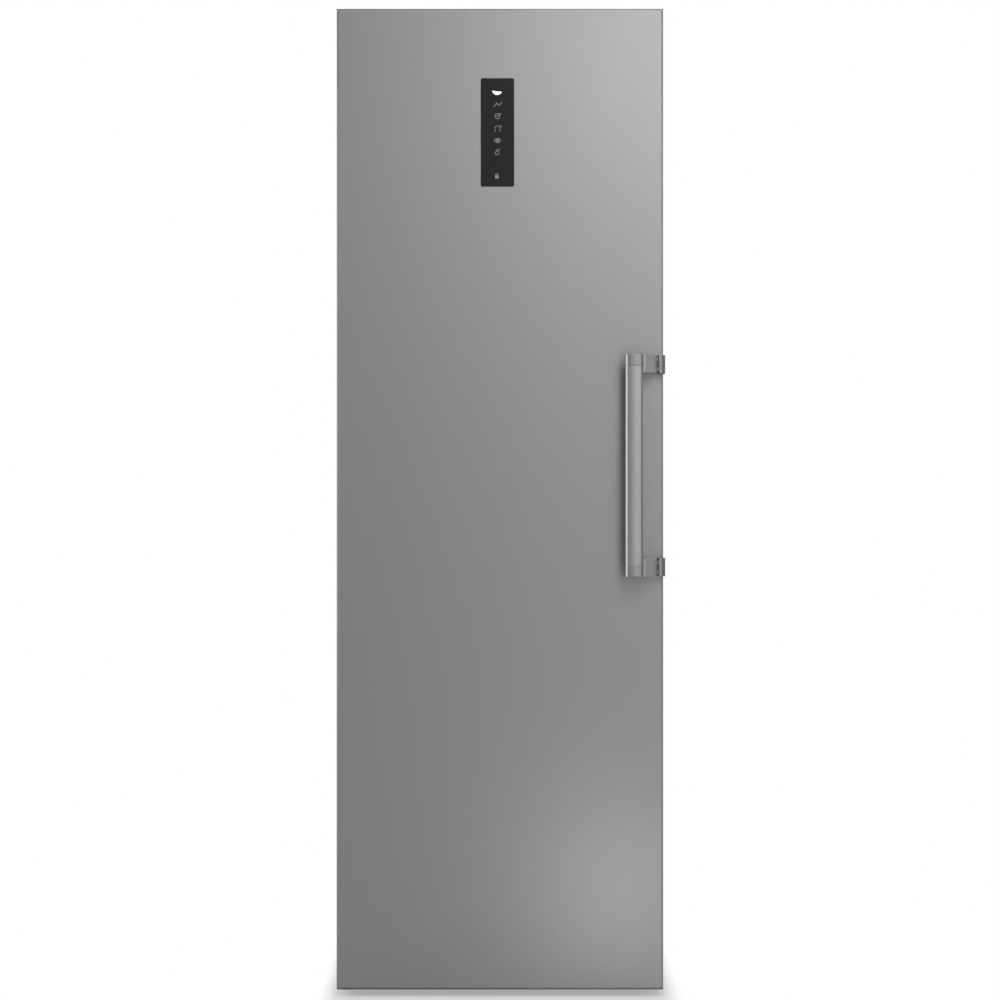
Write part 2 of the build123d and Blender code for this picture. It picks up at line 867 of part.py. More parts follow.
def make_fan_rotor():
    """A fan with pitched blades, wider at their tips, round a hub that turns on the motor's shaft."""
    back = rotor_front() + fan_depth
    hub = along_y(RegularPolygon(fan_hub, 2 * blade_count), (rotor_front(), back))
    pitch = radians(blade_angle)
    chord = (fan_depth - blade_sheet * cos(pitch)) / sin(pitch)
    root = fan_hub - blade_sheet
    outline = Polygon((root, -blade_root / 2), (fan_radius, -chord / 2),
                      (fan_radius, chord / 2), (root, blade_root / 2))
    blade = along_z(outline, (-blade_sheet / 2, blade_sheet / 2))
    blade = Pos(0, back - fan_depth / 2, 0) * Rot(90 - blade_angle, 0, 0) * blade
    rotor = hub + [Rot(0, 360 / blade_count * index, 0) * blade for index in range(blade_count)]
    bore = RegularPolygon(shaft_radius + running, 12, major_radius=False)
    rotor -= along_y(bore, (rotor_front() - over, back + over))
    return Pos(0, 0, fan_level) * rotor


def make_evaporator():
    """A roll-bonded plate whose raised channel winds down it."""
    face = liner_back - gap - channel_height
    plate = rect((-evaporator_half, evaporator_half), (evaporator_low, evaporator_high))
    run = evaporator_half - 2 * channel_width
    pitch = (evaporator_high - evaporator_low) / (channel_runs + 1)
    points = []
    for index in range(channel_runs):
        level = evaporator_low + pitch * (index + 1)
        side = run if index % 2 else -run
        points += [(-side, level), (side, level)]
    channel = trace(Polyline(*points), channel_width)
    return along_y(plate, (face - 2 * sheet, face)) + along_y(channel, (face, liner_back - gap))


def light_y():
    """The front and back of the interior light."""
    return (shelf_front + light_inset, shelf_front + light_inset + light_depth)


def make_light_board():
    """A strip of light emitters on their board, under the ceiling."""
    y = light_y()
    wall = plastic_wall + board_room
    low = liner_ceiling - board_thickness
    board = block((wall - light_half, light_half - wall), (y[0] + wall, y[1] - wall), (low, liner_ceiling))
    across = emitter_size / 2
    middle = sum(y) / 2
    emitter = block((-across, across), (middle - across, middle + across), (low - emitter_height, low))
    return board + [place * emitter for place in GridLocations(emitter_pitch, 1, emitter_count, 1)]


def make_light_lens():
    """A shallow diffuser under the ceiling, hollow above."""
    y = light_y()
    wall = plastic_wall
    bottom = liner_ceiling - light_drop
    outer = along_z(bevelled((-light_half, light_half), y, light_corner), (bottom, liner_ceiling))
    outer = chamfer(outer.faces().sort_by(Axis.Z)[0].edges(), light_bevel)
    inner = bevelled((wall - light_half, light_half - wall), (y[0] + wall, y[1] - wall), light_corner / 2)
    return outer - along_z(inner, (bottom + wall, liner_ceiling + over))


# Door

def door_form(inset, ease, drop=0, back=0):
    """The door's outline as a solid, with eased front edges, drawn in by an inset."""
    side = half - inset
    front = door_front + inset
    rear = door_back - liner_sheet + back
    low = door_lift + cap_lip - drop
    plan = rect((-side, side), (front, rear))
    plan = ease(plan.vertices().group_by(Axis.Y)[0], skin_radius - inset)
    profile = rect((front, rear), (low, height - inset))
    corner = profile.vertices().sort_by(lambda v: v.Y - v.X)[-1]
    profile = ease(corner, skin_top_radius - inset)
    return along_z(plan, (low, height - inset)) & along_x(profile, (-side, side))


def handle_notches():
    """The blocks cut from the door's side edge for the handle bases."""
    x = (base_left - gap, half + over)
    y = (door_front - over, door_back + over)
    return [block(x, y, (low - gap, low + arm_height + gap)) for low in arm_lows()]


def hinge_pocket():
    """The corner of the door's top that clears the upper hinge's tongue as the door swings."""
    x = (-half - over, axis_x + tongue_half + pocket_room)
    y = (axis_y - 2 * tongue_half - over, door_back + over)
    return block(x, y, (pocket_floor, height + over))


def panel_cut(clear, y, corner):
    """The opening for the control panel, with a clearance round it and a corner radius."""
    top = height - panel_drop
    side = panel_width / 2 + clear
    across = (panel_shift - side, panel_shift + side)
    return along_y(rect(across, (top - panel_height - clear, top + clear), corner), y)


def make_door_skin():
    """One sheet folded back at both sides and over the top, cut for the panel, handle and hinge."""
    skin = door_form(0, fillet) - door_form(sheet, chamfer, drop=1, back=1)
    side = half - sheet
    open_y = (door_front + skin_top_return, door_back)
    skin -= block((-side, side), open_y, (height - 1.5 * sheet, height + over))
    skin -= panel_cut(gap, (door_front - over, door_front + 2 * sheet), panel_corner + gap)
    return skin - handle_notches() - hinge_pocket()


def hinge_block(low, high, clear=0):
    """The solid corner of a door cap that holds a hinge bush."""
    reach = 2 * (pin_radius + bush_wall) + clear
    x = (-half + sheet + gap, axis_x + reach)
    return block(x, (axis_y - reach, axis_y + reach), (low - clear, high + clear))


def bush_bore(face, up):
    """The hole for a hinge bush in a cap, open past the cap's face."""
    ends = sorted((face + up, face - up * bush_length))
    return upright(axis_x, axis_y, ends, pin_radius + running + bush_wall, 6)


def cap_tray(low, high, z):
    """A moulded cap that plugs an end of the door, with a hollow between two levels."""
    side = half - sheet - gap
    y = (door_front + sheet + gap, door_back)
    wall = plastic_wall
    plan = chamfer(rect((-side, side), y).vertices().group_by(Axis.Y)[0], skin_radius)
    return along_z(plan, (low, high)) - block((wall - side, side - wall), (y[0] + wall, y[1] - wall), z)


def bottom_plug():
    """The levels of the plug of the door's bottom cap."""
    return (door_lift + cap_lip / 2, door_lift + cap_lip + cap_height)


def bottom_block():
    """The levels of the bottom cap's hinge block."""
    return (door_lift + cap_lip / 2, door_lift + bush_length + plastic_wall)


def make_door_bottom_cap():
    """The cap under the door: a lip that shows below the skin, a hollow plug and a hinge block."""
    plan = rect((-half, half), (door_front, door_back))
    plan = fillet(plan.vertices().group_by(Axis.Y)[0], skin_radius)
    low, high = bottom_plug()
    lip = (door_lift, door_lift + cap_lip)
    cap = along_z(plan, lip) + cap_tray(low, high, (lip[1], high + over))
    return cap + hinge_block(*bottom_block()) - bush_bore(door_lift, -1)


def top_block():
    """The levels of the top cap's hinge block."""
    return (pocket_floor - bush_length - plastic_wall, height - sheet - gap)


def make_door_top_cap():
    """The cap in the door's top: a plug under the skin's fold, a raised strip and a hinge block."""
    top = height - sheet - gap
    cap = cap_tray(height - cap_height, top, (0, top - plastic_wall))
    cap = chamfer(cap.edges().filter_by(Axis.X).group_by(Axis.Z)[-1].sort_by(Axis.Y)[0], skin_top_radius)
    side = half - sheet - gap
    cap += block((-side, side), (door_front + skin_top_return + gap, door_back), (top - sheet, height))
    return cap + hinge_block(*top_block()) - hinge_pocket() - bush_bore(pocket_floor, 1)


def dyke_half():
    """Half the width of the door's raised ring, clear of the cabinet's inner walls."""
    return inner_half - dyke_clearance


def dyke_low():
    """The ring's lower edge, over the cabinet's inner floor."""
    return liner_floor + dyke_clearance


def dyke_high():
    """The ring's upper edge, under the cabinet's ceiling."""
    return liner_ceiling - dyke_clearance


def dyke_ring(inset, ease=chamfer, corner=flat_cut(dyke_corner)):
    """The raised ring inside the door as a solid, drafted outside and upright inside."""
    x = dyke_half() - inset
    z = (dyke_low() + inset, dyke_high() - inset)
    foot = ease(rect((-x, x), z).vertices(), corner)
    start = door_back - liner_sheet
    rise = liner_sheet + dyke_height - inset
    outer = extrude(Plane.XZ.offset(-start) * foot, rise, dir=(0, 1, 0), taper=dyke_draft)
    inner_x = dyke_half() - dyke_width + inset
    inner_z = (dyke_low() + dyke_width - inset, dyke_high() - dyke_width + inset)
    return outer - along_y(rect((-inner_x, inner_x), inner_z), (start - over, start + 2 * rise))


def bin_half():
    """Half the width of a door bin, which fits between the ring's two upright sides."""
    return dyke_half() - dyke_width - gap


def bottle_bin_level():
    """The underside of the lowest bin, which stands on the ring's lower side."""
    return dyke_low() + dyke_width + gap


def liner_span():
    """The levels between the two door caps."""
    return (bottom_plug()[1] + gap, height - cap_height - gap)


def make_door_liner():
    """The moulded inner door: a flange for the seal, a raised hollow ring and lugs for the bins."""
    side = half - sheet - gap
    liner = along_y(rect((-side, side), liner_span()), (door_back - liner_sheet, door_back))
    liner = liner + dyke_ring(0, fillet, dyke_corner) - dyke_ring(liner_sheet)
    liner -= along_y(seal_ring(seal_foot / 2 + gap), (door_back - seal_groove, door_back + over))
    inner = bin_half() + gap
    lug_x = (inner - lug_reach, inner + over)
    lug_y = (door_back, door_back + dyke_height - lug_height)
    for level in (middle_bin_level, upper_bin_level, dairy_bin_level):
        liner += both_sides(block(lug_x, lug_y, (level - gap - lug_height, level - gap)))
    return liner - handle_notches()


def ring_foam():
    """Foam that fills the liner's ring, as a bar in each of its four sides."""
    inset = liner_sheet + gap
    ring = dyke_ring(inset)
    inner = dyke_half() - dyke_width + inset
    deep = (door_back - liner_sheet, door_back + dyke_height)
    uprights = both_sides(ring & block((inner, half), deep, (0, height)))
    return uprights + [ring & block((-inner, inner), deep, (0, height))]


def make_door_insulation():
    """Foam behind the skin, cut round the panel, handle and hinges, with bars in the liner's ring."""
    low, high = liner_span()
    side = half - sheet
    plan = rect((-side, side), (door_front + sheet, door_back - liner_sheet))
    plan = chamfer(plan.vertices().group_by(Axis.Y)[0], skin_radius)
    foam = along_z(plan, (low, high))
    foam -= panel_cut(gap, (door_front - over, door_front + panel_depth + gap), 0)
    foam -= hinge_block(*top_block(), clear=gap)
    foam -= hinge_block(*bottom_block(), clear=gap)
    foam -= handle_notches()
    return group([foam - screw_holes(base_screws(), base_shank)] + ring_foam())


def seal_ring(half_width):
    """The seal's run seen from the front: a mitred ring of a half width about its middle line."""
    middle = half - axis_inset - gap - seal_width / 2
    spread = middle - inner_half
    z = (liner_floor - spread, liner_ceiling + spread)
    outer = rect((-middle - half_width, middle + half_width), (z[0] - half_width, z[1] + half_width))
    return outer - rect((half_width - middle, middle - half_width), (z[0] + half_width, z[1] - half_width))


def make_door_gasket():
    """The soft magnetic seal: a foot in the liner's groove and a wide face."""
    waist = door_back + seal_waist
    seal = along_y(seal_ring(seal_foot / 2), (door_back - seal_groove, waist))
    return seal + along_y(seal_ring(seal_width / 2), (waist, door_back + seal_gap - gap))


# Door bins

def make_bin(level, tall):
    """A clear door bin with rounded front corners and a back wall that stops part of the way up."""
    side = bin_half()
    wall = plastic_wall
    plan = rect((-side, side), (door_back, bin_front))
    plan = fillet(plan.vertices().group_by(Axis.Y)[-1], bin_corner)
    hollow = rect((wall - side, side - wall), (door_back + wall, bin_front - wall))
    hollow = fillet(hollow.vertices().group_by(Axis.Y)[-1], bin_corner - wall)
    body = along_z(plan, (level, level + tall)) - along_z(hollow, (level + wall, level + tall + over))
    back_y = (door_back - over, door_back + 2 * wall)
    return body - block((wall - side, side - wall), back_y, (level + bin_back_height, level + tall + over))


def lid_axis():
    """The depth and the level of the dairy lid's hinge line."""
    return door_back + plastic_wall + lid_room, dairy_bin_level + bin_height - lid_pin_drop


def make_dairy_bin():
    """The bin with a lid: its end walls carry the holes for the lid's pins."""
    hole = Pos(*lid_axis()) * RegularPolygon(lid_pin_radius + running, 12, major_radius=False)
    return make_bin(dairy_bin_level, bin_height) - along_x(hole, (-half, half))


def make_dairy_lid():
    """A flap with a lip in front that lies over the dairy bin and tips up on two pins."""
    y, z = lid_axis()
    top = dairy_bin_level + bin_height + gap
    inside = bin_half() - plastic_wall - gap
    front = bin_front + lid_overhang
    ear = lid_pin_radius + lid_wall
    flap = rect((-bin_half(), bin_half()), (y - ear, front))
    flap = chamfer(flap.vertices().group_by(Axis.Y)[-1], flat_cut(bin_corner))
    lid = along_z(flap, (top, top + lid_wall))
    lip_side = bin_half() - bin_corner
    lid += block((-lip_side, lip_side), (front - lid_wall, front), (top - lid_lip, top + lid_wall))
    swing = (y - ear - over, y + lid_pin_drop + 2 * gap)
    lid -= both_sides(block((inside, bin_half() + over), swing, (top - gap, top + 2 * lid_wall)))
    knuckle = chamfer(rect((y - ear, y + ear), (z - ear, top + over)).vertices().group_by(Axis.Y)[0], ear / 2)
    lid += both_sides(along_x(knuckle, (inside - lid_ear, inside)))
    pin = along_x(Pos(y, z) * shaft(lid_pin_radius), (inside, inside + plastic_wall + gap))
    return lid + both_sides(pin)


# Control panel

def make_control_panel():
    """A black strip set in the door's face, hollow behind for its board."""
    front = door_front - panel_proud
    back = door_front + panel_depth
    hollow = along_y(panel_inside(plastic_wall), (front + panel_front, back + over))
    return panel_cut(0, (front, back), panel_corner) - hollow


def panel_inside(inset):
    """The outline of the panel's inside, drawn in by an inset."""
    top = height - panel_drop
    side = panel_width / 2 - inset
    return rect((panel_shift - side, panel_shift + side), (top - panel_height + inset, top - inset))


def make_control_board():
    """The touch and display board inside the panel, with an emitter behind each symbol."""
    back = door_front + panel_depth - plastic_wall
    face = back - board_thickness
    board = along_y(panel_inside(plastic_wall + gap), (face, back))
    low = door_front - panel_proud + panel_front + gap
    across = symbol_emitter / 2
    first = height - panel_drop - symbol_drop
    x = (panel_shift - across, panel_shift + across)
    for index in range(symbol_count):
        level = first - symbol_pitch * index
        board += block(x, (low, face), (level - across, level + across))
    return board


# Handle

def arm_lows():
    """The lower levels of the two handle arms and bases."""
    return (handle_top - handle_length, handle_top - arm_height)


def handle_places():
    """The middle levels of the two arms."""
    return [low + arm_height / 2 for low in arm_lows()]


def bar_plan():
    """The handle bar seen from above, with rounded long edges."""
    x = (bar_centre - bar_width / 2, bar_centre + bar_width / 2)
    return rect(x, (front_y, front_y + bar_depth), bar_edge)


def make_handle_bar():
    """The upright grip between its end caps."""
    return along_z(bar_plan(), (handle_top - handle_length + end_cap_height, handle_top - end_cap_height))


def make_handle_end_caps():
    """The two caps that close the bar."""
    upper = along_z(bar_plan(), (handle_top - end_cap_height, handle_top))
    return group([upper, mirror(upper, Plane.XY.offset(handle_top - handle_length / 2))])


def pivot_place():
    """The handle's pivot line seen from above."""
    return base_left - pivot_shift, door_front - pivot_front


def pivot_hole():
    """The hole for a handle pivot pin, with twelve flats that touch its clearance circle."""
    return upright(*pivot_place(), (-arm_height, arm_height), pivot_radius + running, 12)


def arm_outline():
    """An arm seen from above: a bent lever from the bar's side to its pivot."""
    edge = bar_centre + bar_width / 2
    front = front_y + bar_edge
    rear = door_front - arm_clear
    toe = front_y + bar_depth - arm_bevel / 2
    shoulder = edge + arm_shoulder
    lever = Polygon((edge, front), (shoulder, front + arm_bevel), (arm_split, door_front - arm_drop),
                    (arm_split, rear), (arm_split - arm_heel, rear),
                    (shoulder - arm_bevel, toe + arm_shoulder), (edge, toe))
    return chamfer(lever.vertices().filter_by(lambda v: edge + arm_bevel < v.X), arm_bevel / 2)


def make_handle_arms():
    """Two arms, hollow over the lugs of their bases, each with a finger that works a pusher."""
    x, y = pivot_place()
    arm = along_z(arm_outline(), (-arm_height / 2, arm_height / 2))
    inside = arm_height / 2 - arm_wall
    left = base_left - lug_width - split_gap
    lug_face = door_front - lug_front
    arm -= block((left, base_right), (lug_face - lug_room, door_front + over), (-inside, inside))
    finger_y = (lug_face - finger_back, y + finger_back)
    arm += block((x - finger_root, x + finger_reach), finger_y, (-finger_half, finger_half))
    arm -= pivot_hole()
    return group([Pos(0, 0, level) * arm for level in handle_places()])


def make_handle_bases():
    """Two blocks round the door's edge, each with two lugs for its arm and a channel for a pusher."""
    outer = rect((base_left, base_right), (door_front - base_front, door_back))
    outer = fillet(outer.vertices().group_by(Axis.Y)[0].sort_by(Axis.X)[-1], base_overhang)
    base = along_z(outer, (-arm_height / 2, arm_height / 2))
    inside = arm_height / 2 - arm_wall - gap
    base += block((base_left - lug_width, base_left), (door_front - lug_front, door_front), (-inside, inside))
    slot = finger_half + gap
    room = (door_front - lug_front - finger_root, door_front - gap)
    base -= block((base_left - lug_width - over, half), room, (-slot, slot))
    channel = pusher_height / 2 + gap
    base -= block((half - pusher_width - 2 * gap, half), (room[0], door_back + over), (-channel, channel))
    base -= pivot_hole()
    bases = group([Pos(0, 0, level) * base for level in handle_places()])
    return bases - screw_holes(base_screws(), base_shank)


def base_screws():
    """The two sunk screws in each base, driven in from the door's side edge."""
    seat = base_right - screw_head_height - gap
    middle = (door_front + door_back) / 2
    rows = [level + offset for level in handle_places() for offset in (-base_screw_offset, base_screw_offset)]
    return [Pos(seat, middle, row) * Rot(0, 90, 0) for row in rows]


def make_handle_screws():
    """The screws of the two bases, which reach into the door."""
    return group([place * screw(base_shank) for place in base_screws()])


def make_handle_pins():
    """The upright pins that the arms turn on."""
    reach = arm_height / 2
    pin = along_z(Pos(*pivot_place()) * shaft(pivot_radius), (-reach, reach))
    return group([Pos(0, 0, level) * pin for level in handle_places()])


def make_seal_pushers():
    """Flat rods in the bases that the arms' fingers push back against the cabinet."""
    right = half - gap
    y = (pivot_place()[1] + finger_back + 2 * gap, door_back + pusher_tip)
    tall = pusher_height / 2
    rod = block((right - pusher_width, right), y, (-tall, tall))
    return group([Pos(0, 0, level) * rod for level in handle_places()])


# Cooling circuit

def tube_y():
    """The depth of the condenser's tube behind the back panel."""
    return cabinet_back + condenser_offset


def condenser_high():
    """The level of the condenser's top run."""
    return condenser_low + condenser_pitch * (condenser_runs - 1)


def make_condenser():
    """A tube wound back and forth behind the cabinet, between two rows of upright wires."""
    bend = condenser_pitch / 2
    points = []
    for index in range(condenser_runs):
        level = condenser_high() - condenser_pitch * index
        out = condenser_half + bend * (0 < index)
        back = condenser_half + bend * (index < condenser_runs - 1)
        side = 1 if index % 2 else -1
        points += [(side * out, tube_y(), level), (-side * back, tube_y(), level)]
    tube = pipe(points, flat_cut(bend), Rectangle(condenser_tube, condenser_tube))
    near = condenser_tube / 2 + gap
    tall = (condenser_low - condenser_tube, condenser_high() + condenser_tube)
    wires = []
    for index in range(wire_count):
        x = (index - (wire_count - 1) / 2) * wire_pitch
        side = 1 if index % 2 else -1
        y = sorted((tube_y() + side * near, tube_y() + side * (near + wire_size)))
        wires.append(block((x - wire_size / 2, x + wire_size / 2), y, tall))
    return group([tube] + wires)


def make_condenser_brackets():
    """Four clips that hold the condenser and keep the cabinet off the wall."""
    clips = []
    x = condenser_half - spacer_width
    for level in (condenser_low, condenser_high()):
        profile = rect((cabinet_back, rear_y), (level - spacer_half, level + spacer_half))
        profile = chamfer(profile.vertices().group_by(Axis.X)[-1], spacer_cut)
        profile -= Pos(tube_y(), level) * Rectangle(condenser_tube + 2 * gap, condenser_tube + 2 * gap)
        clips += both_sides(along_x(profile, (x - spacer_width / 2, x + spacer_width / 2)))
    return group(clips)


def compressor_place():
    """The middle of the compressor's foot plate on its rubber grommets."""
    return compressor_x, niche_front + niche_depth / 2, chassis_top + grommet_height


def compressor_top():
    """The flat top of the compressor's dome."""
    return chassis_top + grommet_height + compressor_height


def make_compressor():
    """A welded pot with a domed top on a foot plate."""
    eave = compressor_height - dome_height
    crown = compressor_radius - dome_height
    profile = Polygon((0, 0), (compressor_radius, 0), (compressor_radius, eave),
                      (crown, compressor_height), (0, compressor_height))
    plate = bevelled((-foot_plate_x, foot_plate_x), (-foot_plate_y, foot_plate_y), foot_plate_corner)
    return Pos(*compressor_place()) * (revolve(Plane.XZ * profile, Axis.Z) + along_z(plate, (0, foot_plate)))


def make_compressor_grommets():
    """Four rubber feet between the foot plate and the base frame."""
    x, y, z = compressor_place()
    rubber = upright(x, y, (chassis_top, z), grommet_radius, 8)
    across = 2 * (foot_plate_x - foot_plate_corner)
    along = 2 * (foot_plate_y - foot_plate_corner)
    return group([place * rubber for place in GridLocations(across, along, 2, 2)])


def make_terminal_cover():
    """The cover over the compressor's terminals, shaped to its side."""
    x, y, z = compressor_place()
    near = x + compressor_radius / 2
    far = x + compressor_radius + terminal_reach
    plan = rect((near, far), (y - terminal_half, y + terminal_half))
    plan = chamfer(plan.vertices().group_by(Axis.X)[-1], terminal_corner)
    cover = along_z(plan - Pos(x, y) * Circle(compressor_radius + gap), (0, terminal_height))
    return Pos(0, 0, z + foot_plate + gap) * cover


def make_evaporation_tray():
    """The tray on the compressor's warm top that dries the melt water off."""
    x, y, _ = compressor_place()
    deep = niche_depth / 2 - tray_room
    low = compressor_top()
    wall = plastic_wall
    outer = bevelled((-tray_half, tray_half), (-deep, deep), tray_corner)
    inner = bevelled((wall - tray_half, tray_half - wall), (wall - deep, deep - wall), tray_corner)
    tray = along_z(outer, (low, low + tray_height)) - along_z(inner, (low + wall, low + tray_height + over))
    return Pos(x, y, 0) * tray


def drain_place():
    """The drain's axis, through the step over the tray."""
    x, y, _ = compressor_place()
    return x + drain_shift, y


def drain_hole(radius):
    """A hole round the drain through everything between the step and the niche."""
    return upright(*drain_place(), (niche_top - over, step_top + over), radius, 8)


def make_drain_tube():
    """The drain from the cold room's step down into the tray."""
    z = (compressor_top() + tray_height / 2, step_top)
    return upright(*drain_place(), z, drain_radius, 8) - upright(*drain_place(), (0, height), drain_bore, 8)


def make_refrigerant_pipes():
    """The discharge, liquid and suction pipes, with the filter drier in the liquid line."""
    x, y, z = compressor_place()
    port = x - compressor_radius - gap
    rear = tube_y()
    bend = 2 * pipe_size
    tube = RegularPolygon(pipe_size / 2, 6)
    left = -condenser_half - condenser_pitch / 2 - 3 * pipe_size
    end = -condenser_half - gap
    low = z + port_height
    out = port - 5 * bend
    discharge = pipe([(port, y, low), (out, y, low), (out, rear, low), (left, rear, low),
                      (left, rear, condenser_high()), (end, rear, condenser_high())], bend / 2, tube)
    drop = left + 3 * pipe_size
    drier_top = niche_top - bend
    drier_low = drier_top - drier_length
    liquid = pipe([(end, rear, condenser_low), (drop, rear, condenser_low), (drop, rear, drier_top - over)],
                  bend / 2, tube)
    drier = upright(drop, rear, (drier_low, drier_top), drier_radius, 8)
    ends = drier.edges().group_by(Axis.Z)[0] + drier.edges().group_by(Axis.Z)[-1]
    drier = chamfer(ends, drier_radius / 3)
    turn = drier_low - 2 * bend
    inward = drop + 3 * bend
    ahead = rear - 4 * bend
    capillary = pipe([(drop, rear, drier_low + over), (drop, rear, turn), (inward, rear, turn),
                      (inward, ahead, turn), (inward, ahead, niche_top - gap)],
                     bend / 2, RegularPolygon(capillary_size / 2, 6))
    high = z + compressor_height - dome_height - bend
    aside = port - 4 * bend
    suction = pipe([(port, y, high), (aside, y, high), (aside, y, niche_top - gap)], bend / 2, tube)
    return group([discharge, liquid + drier + capillary, suction])


def make_mains_inlet():
    """A three-pin appliance inlet that stands on the base frame and faces the back."""
    x = (inlet_x - inlet_half, inlet_x + inlet_half)
    z = (chassis_top, chassis_top + inlet_height)
    y = (cabinet_back - inlet_depth, cabinet_back)
    wall = plastic_wall
    recess = bevelled((x[0] + wall, x[1] - wall), (z[0] + wall, z[1] - wall), inlet_corner / 2)
    floor = y[0] + inlet_floor
    body = along_y(bevelled(x, z, inlet_corner), y) - along_y(recess, (floor, y[1] + over))
    middle = sum(z) / 2 - inlet_pin_height / 2
    pin = block((-inlet_pin / 2, inlet_pin / 2), (floor, floor + inlet_pin_length), (0, inlet_pin_height))
    for step, rise in ((-1, -inlet_pin_rise), (0, inlet_pin_rise), (1, -inlet_pin_rise)):
        body += Pos(inlet_x + step * inlet_pin_pitch, 0, middle + rise) * pin
    return body


def save(name, shape):
    """Write one piece under its own name."""
    shape.label = name
    export_step(shape, f"parts/{name}.step")


os.makedirs("parts", exist_ok=True)

# Cabinet
save("outer_wrapper", make_outer_wrapper())
save("back_panel", make_back_panel())
save("cabinet_insulation", make_cabinet_insulation())
save("inner_liner", make_inner_liner())
save("base_frame", make_base_frame())
save("kick_plate", make_kick_plate())
save("upper_hinge_bracket", make_upper_hinge_bracket())
save("lower_hinge_bracket", make_lower_hinge_bracket())
save("hinge_pins", make_hinge_pins())
save("hinge_cover", make_hinge_cover())
save("cabinet_screws", make_cabinet_screws())

# Inside
for number, shelf_level in enumerate(shelf_levels(), 1):
    save(f"glass_shelf_{number}", make_glass_shelf(shelf_level))
save("shelf_trims", make_shelf_trims())
save("crisper_cover", make_crisper_cover())
save("bottle_rack", make_bottle_rack())
save("air_duct_cover", make_air_duct_cover())
save("fan_motor", make_fan_motor())
save("evaporator", make_evaporator())
save("light_lens", make_light_lens())
save("light_board", make_light_board())

# Cooling circuit
save("compressor", make_compressor())
save("compressor_grommets", make_compressor_grommets())
save("terminal_cover", make_terminal_cover())
save("evaporation_tray", make_evaporation_tray())
save("drain_tube", make_drain_tube())
save("condenser", make_condenser())
save("condenser_brackets", make_condenser_brackets())
save("refrigerant_pipes", make_refrigerant_pipes())
save("mains_inlet", make_mains_inlet())

# Door
save("door_skin", make_door_skin())
save("door_top_cap", make_door_top_cap())
save("door_bottom_cap", make_door_bottom_cap())
save("door_insulation", make_door_insulation())
save("door_liner", make_door_liner())
save("door_gasket", make_door_gasket())
save("hinge_bushes", make_hinge_bushes())
save("bottle_bin", make_bin(bottle_bin_level(), bottle_bin_height))
save("middle_bin", make_bin(middle_bin_level, bin_height))
save("upper_bin", make_bin(upper_bin_level, bin_height))
save("dairy_bin", make_dairy_bin())
save("control_panel", make_control_panel())
save("control_board", make_control_board())
save("handle_bases", make_handle_bases())
save("handle_screws", make_handle_screws())

# Handle
save("handle_bar", make_handle_bar())
save("handle_end_caps", make_handle_end_caps())
save("handle_arms", make_handle_arms())
save("handle_pins", make_handle_pins())

# Other pieces that move
save("seal_pushers", make_seal_pushers())
save("dairy_lid", make_dairy_lid())
save("lower_drawer", make_drawer(lower_drawer_floor(), lower_drawer_height, lower_drawer_depth()))
save("upper_drawer", make_drawer(upper_drawer_floor(), upper_drawer_height, upper_drawer_depth()))
save("fan_rotor", make_fan_rotor())
save("rear_rollers", make_rear_rollers())
for side_name, foot in zip(("right", "left"), both_sides(make_foot())):
    save(f"front_foot_{side_name}", foot)
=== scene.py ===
# %% [markdown]
# This lesson dresses a tall refrigerator in Blender. The shapes and places of its pieces come from a
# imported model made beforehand, which is loaded as a fixed frame. Every piece keeps the name it has
# there, and what is added here rides on one of the frame's bodies, so that it moves as the real one does.

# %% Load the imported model
import bpy
import bmesh
import json
from math import asin, cos, degrees, pi, radians, sin
from mathutils import Matrix, Vector


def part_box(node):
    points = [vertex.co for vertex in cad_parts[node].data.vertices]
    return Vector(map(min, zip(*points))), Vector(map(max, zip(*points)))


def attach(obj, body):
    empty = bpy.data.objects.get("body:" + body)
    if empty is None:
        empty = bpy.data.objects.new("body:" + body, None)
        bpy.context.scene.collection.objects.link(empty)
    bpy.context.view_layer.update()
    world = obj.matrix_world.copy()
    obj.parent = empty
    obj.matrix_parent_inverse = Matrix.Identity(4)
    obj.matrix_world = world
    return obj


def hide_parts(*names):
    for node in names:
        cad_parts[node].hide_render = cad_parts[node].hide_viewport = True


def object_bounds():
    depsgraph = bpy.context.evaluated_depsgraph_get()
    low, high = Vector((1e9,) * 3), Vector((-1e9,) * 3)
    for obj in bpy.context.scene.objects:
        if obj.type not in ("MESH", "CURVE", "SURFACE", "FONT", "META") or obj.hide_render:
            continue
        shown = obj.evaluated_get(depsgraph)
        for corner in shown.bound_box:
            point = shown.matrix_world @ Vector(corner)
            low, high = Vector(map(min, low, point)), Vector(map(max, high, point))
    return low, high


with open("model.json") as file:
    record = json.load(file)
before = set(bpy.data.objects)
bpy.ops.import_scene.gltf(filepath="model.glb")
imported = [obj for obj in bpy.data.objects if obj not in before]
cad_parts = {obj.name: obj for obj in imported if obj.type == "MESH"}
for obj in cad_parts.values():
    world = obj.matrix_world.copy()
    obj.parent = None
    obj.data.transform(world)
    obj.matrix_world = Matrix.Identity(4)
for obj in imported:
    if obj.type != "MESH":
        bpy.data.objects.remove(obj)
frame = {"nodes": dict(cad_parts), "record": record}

cad_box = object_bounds()
bodies = frame["record"]["behaviour"]["bodies"]
body_of = {node: body for body, nodes in bodies.items() for node in nodes}
slot_of = {part["node"]: part["material_slot"] for part in frame["record"]["subparts"]}

# %% [markdown]
# The camera comes first, because every later choice is judged through it. The photograph is a product
# picture taken straight on from a few metres away, level with the middle of the door. A level camera
# without shift keeps the door's sides upright. The door's face is 1786 mm tall and fills 981 of the
# 1000 pixels, so the lens follows from the distance.

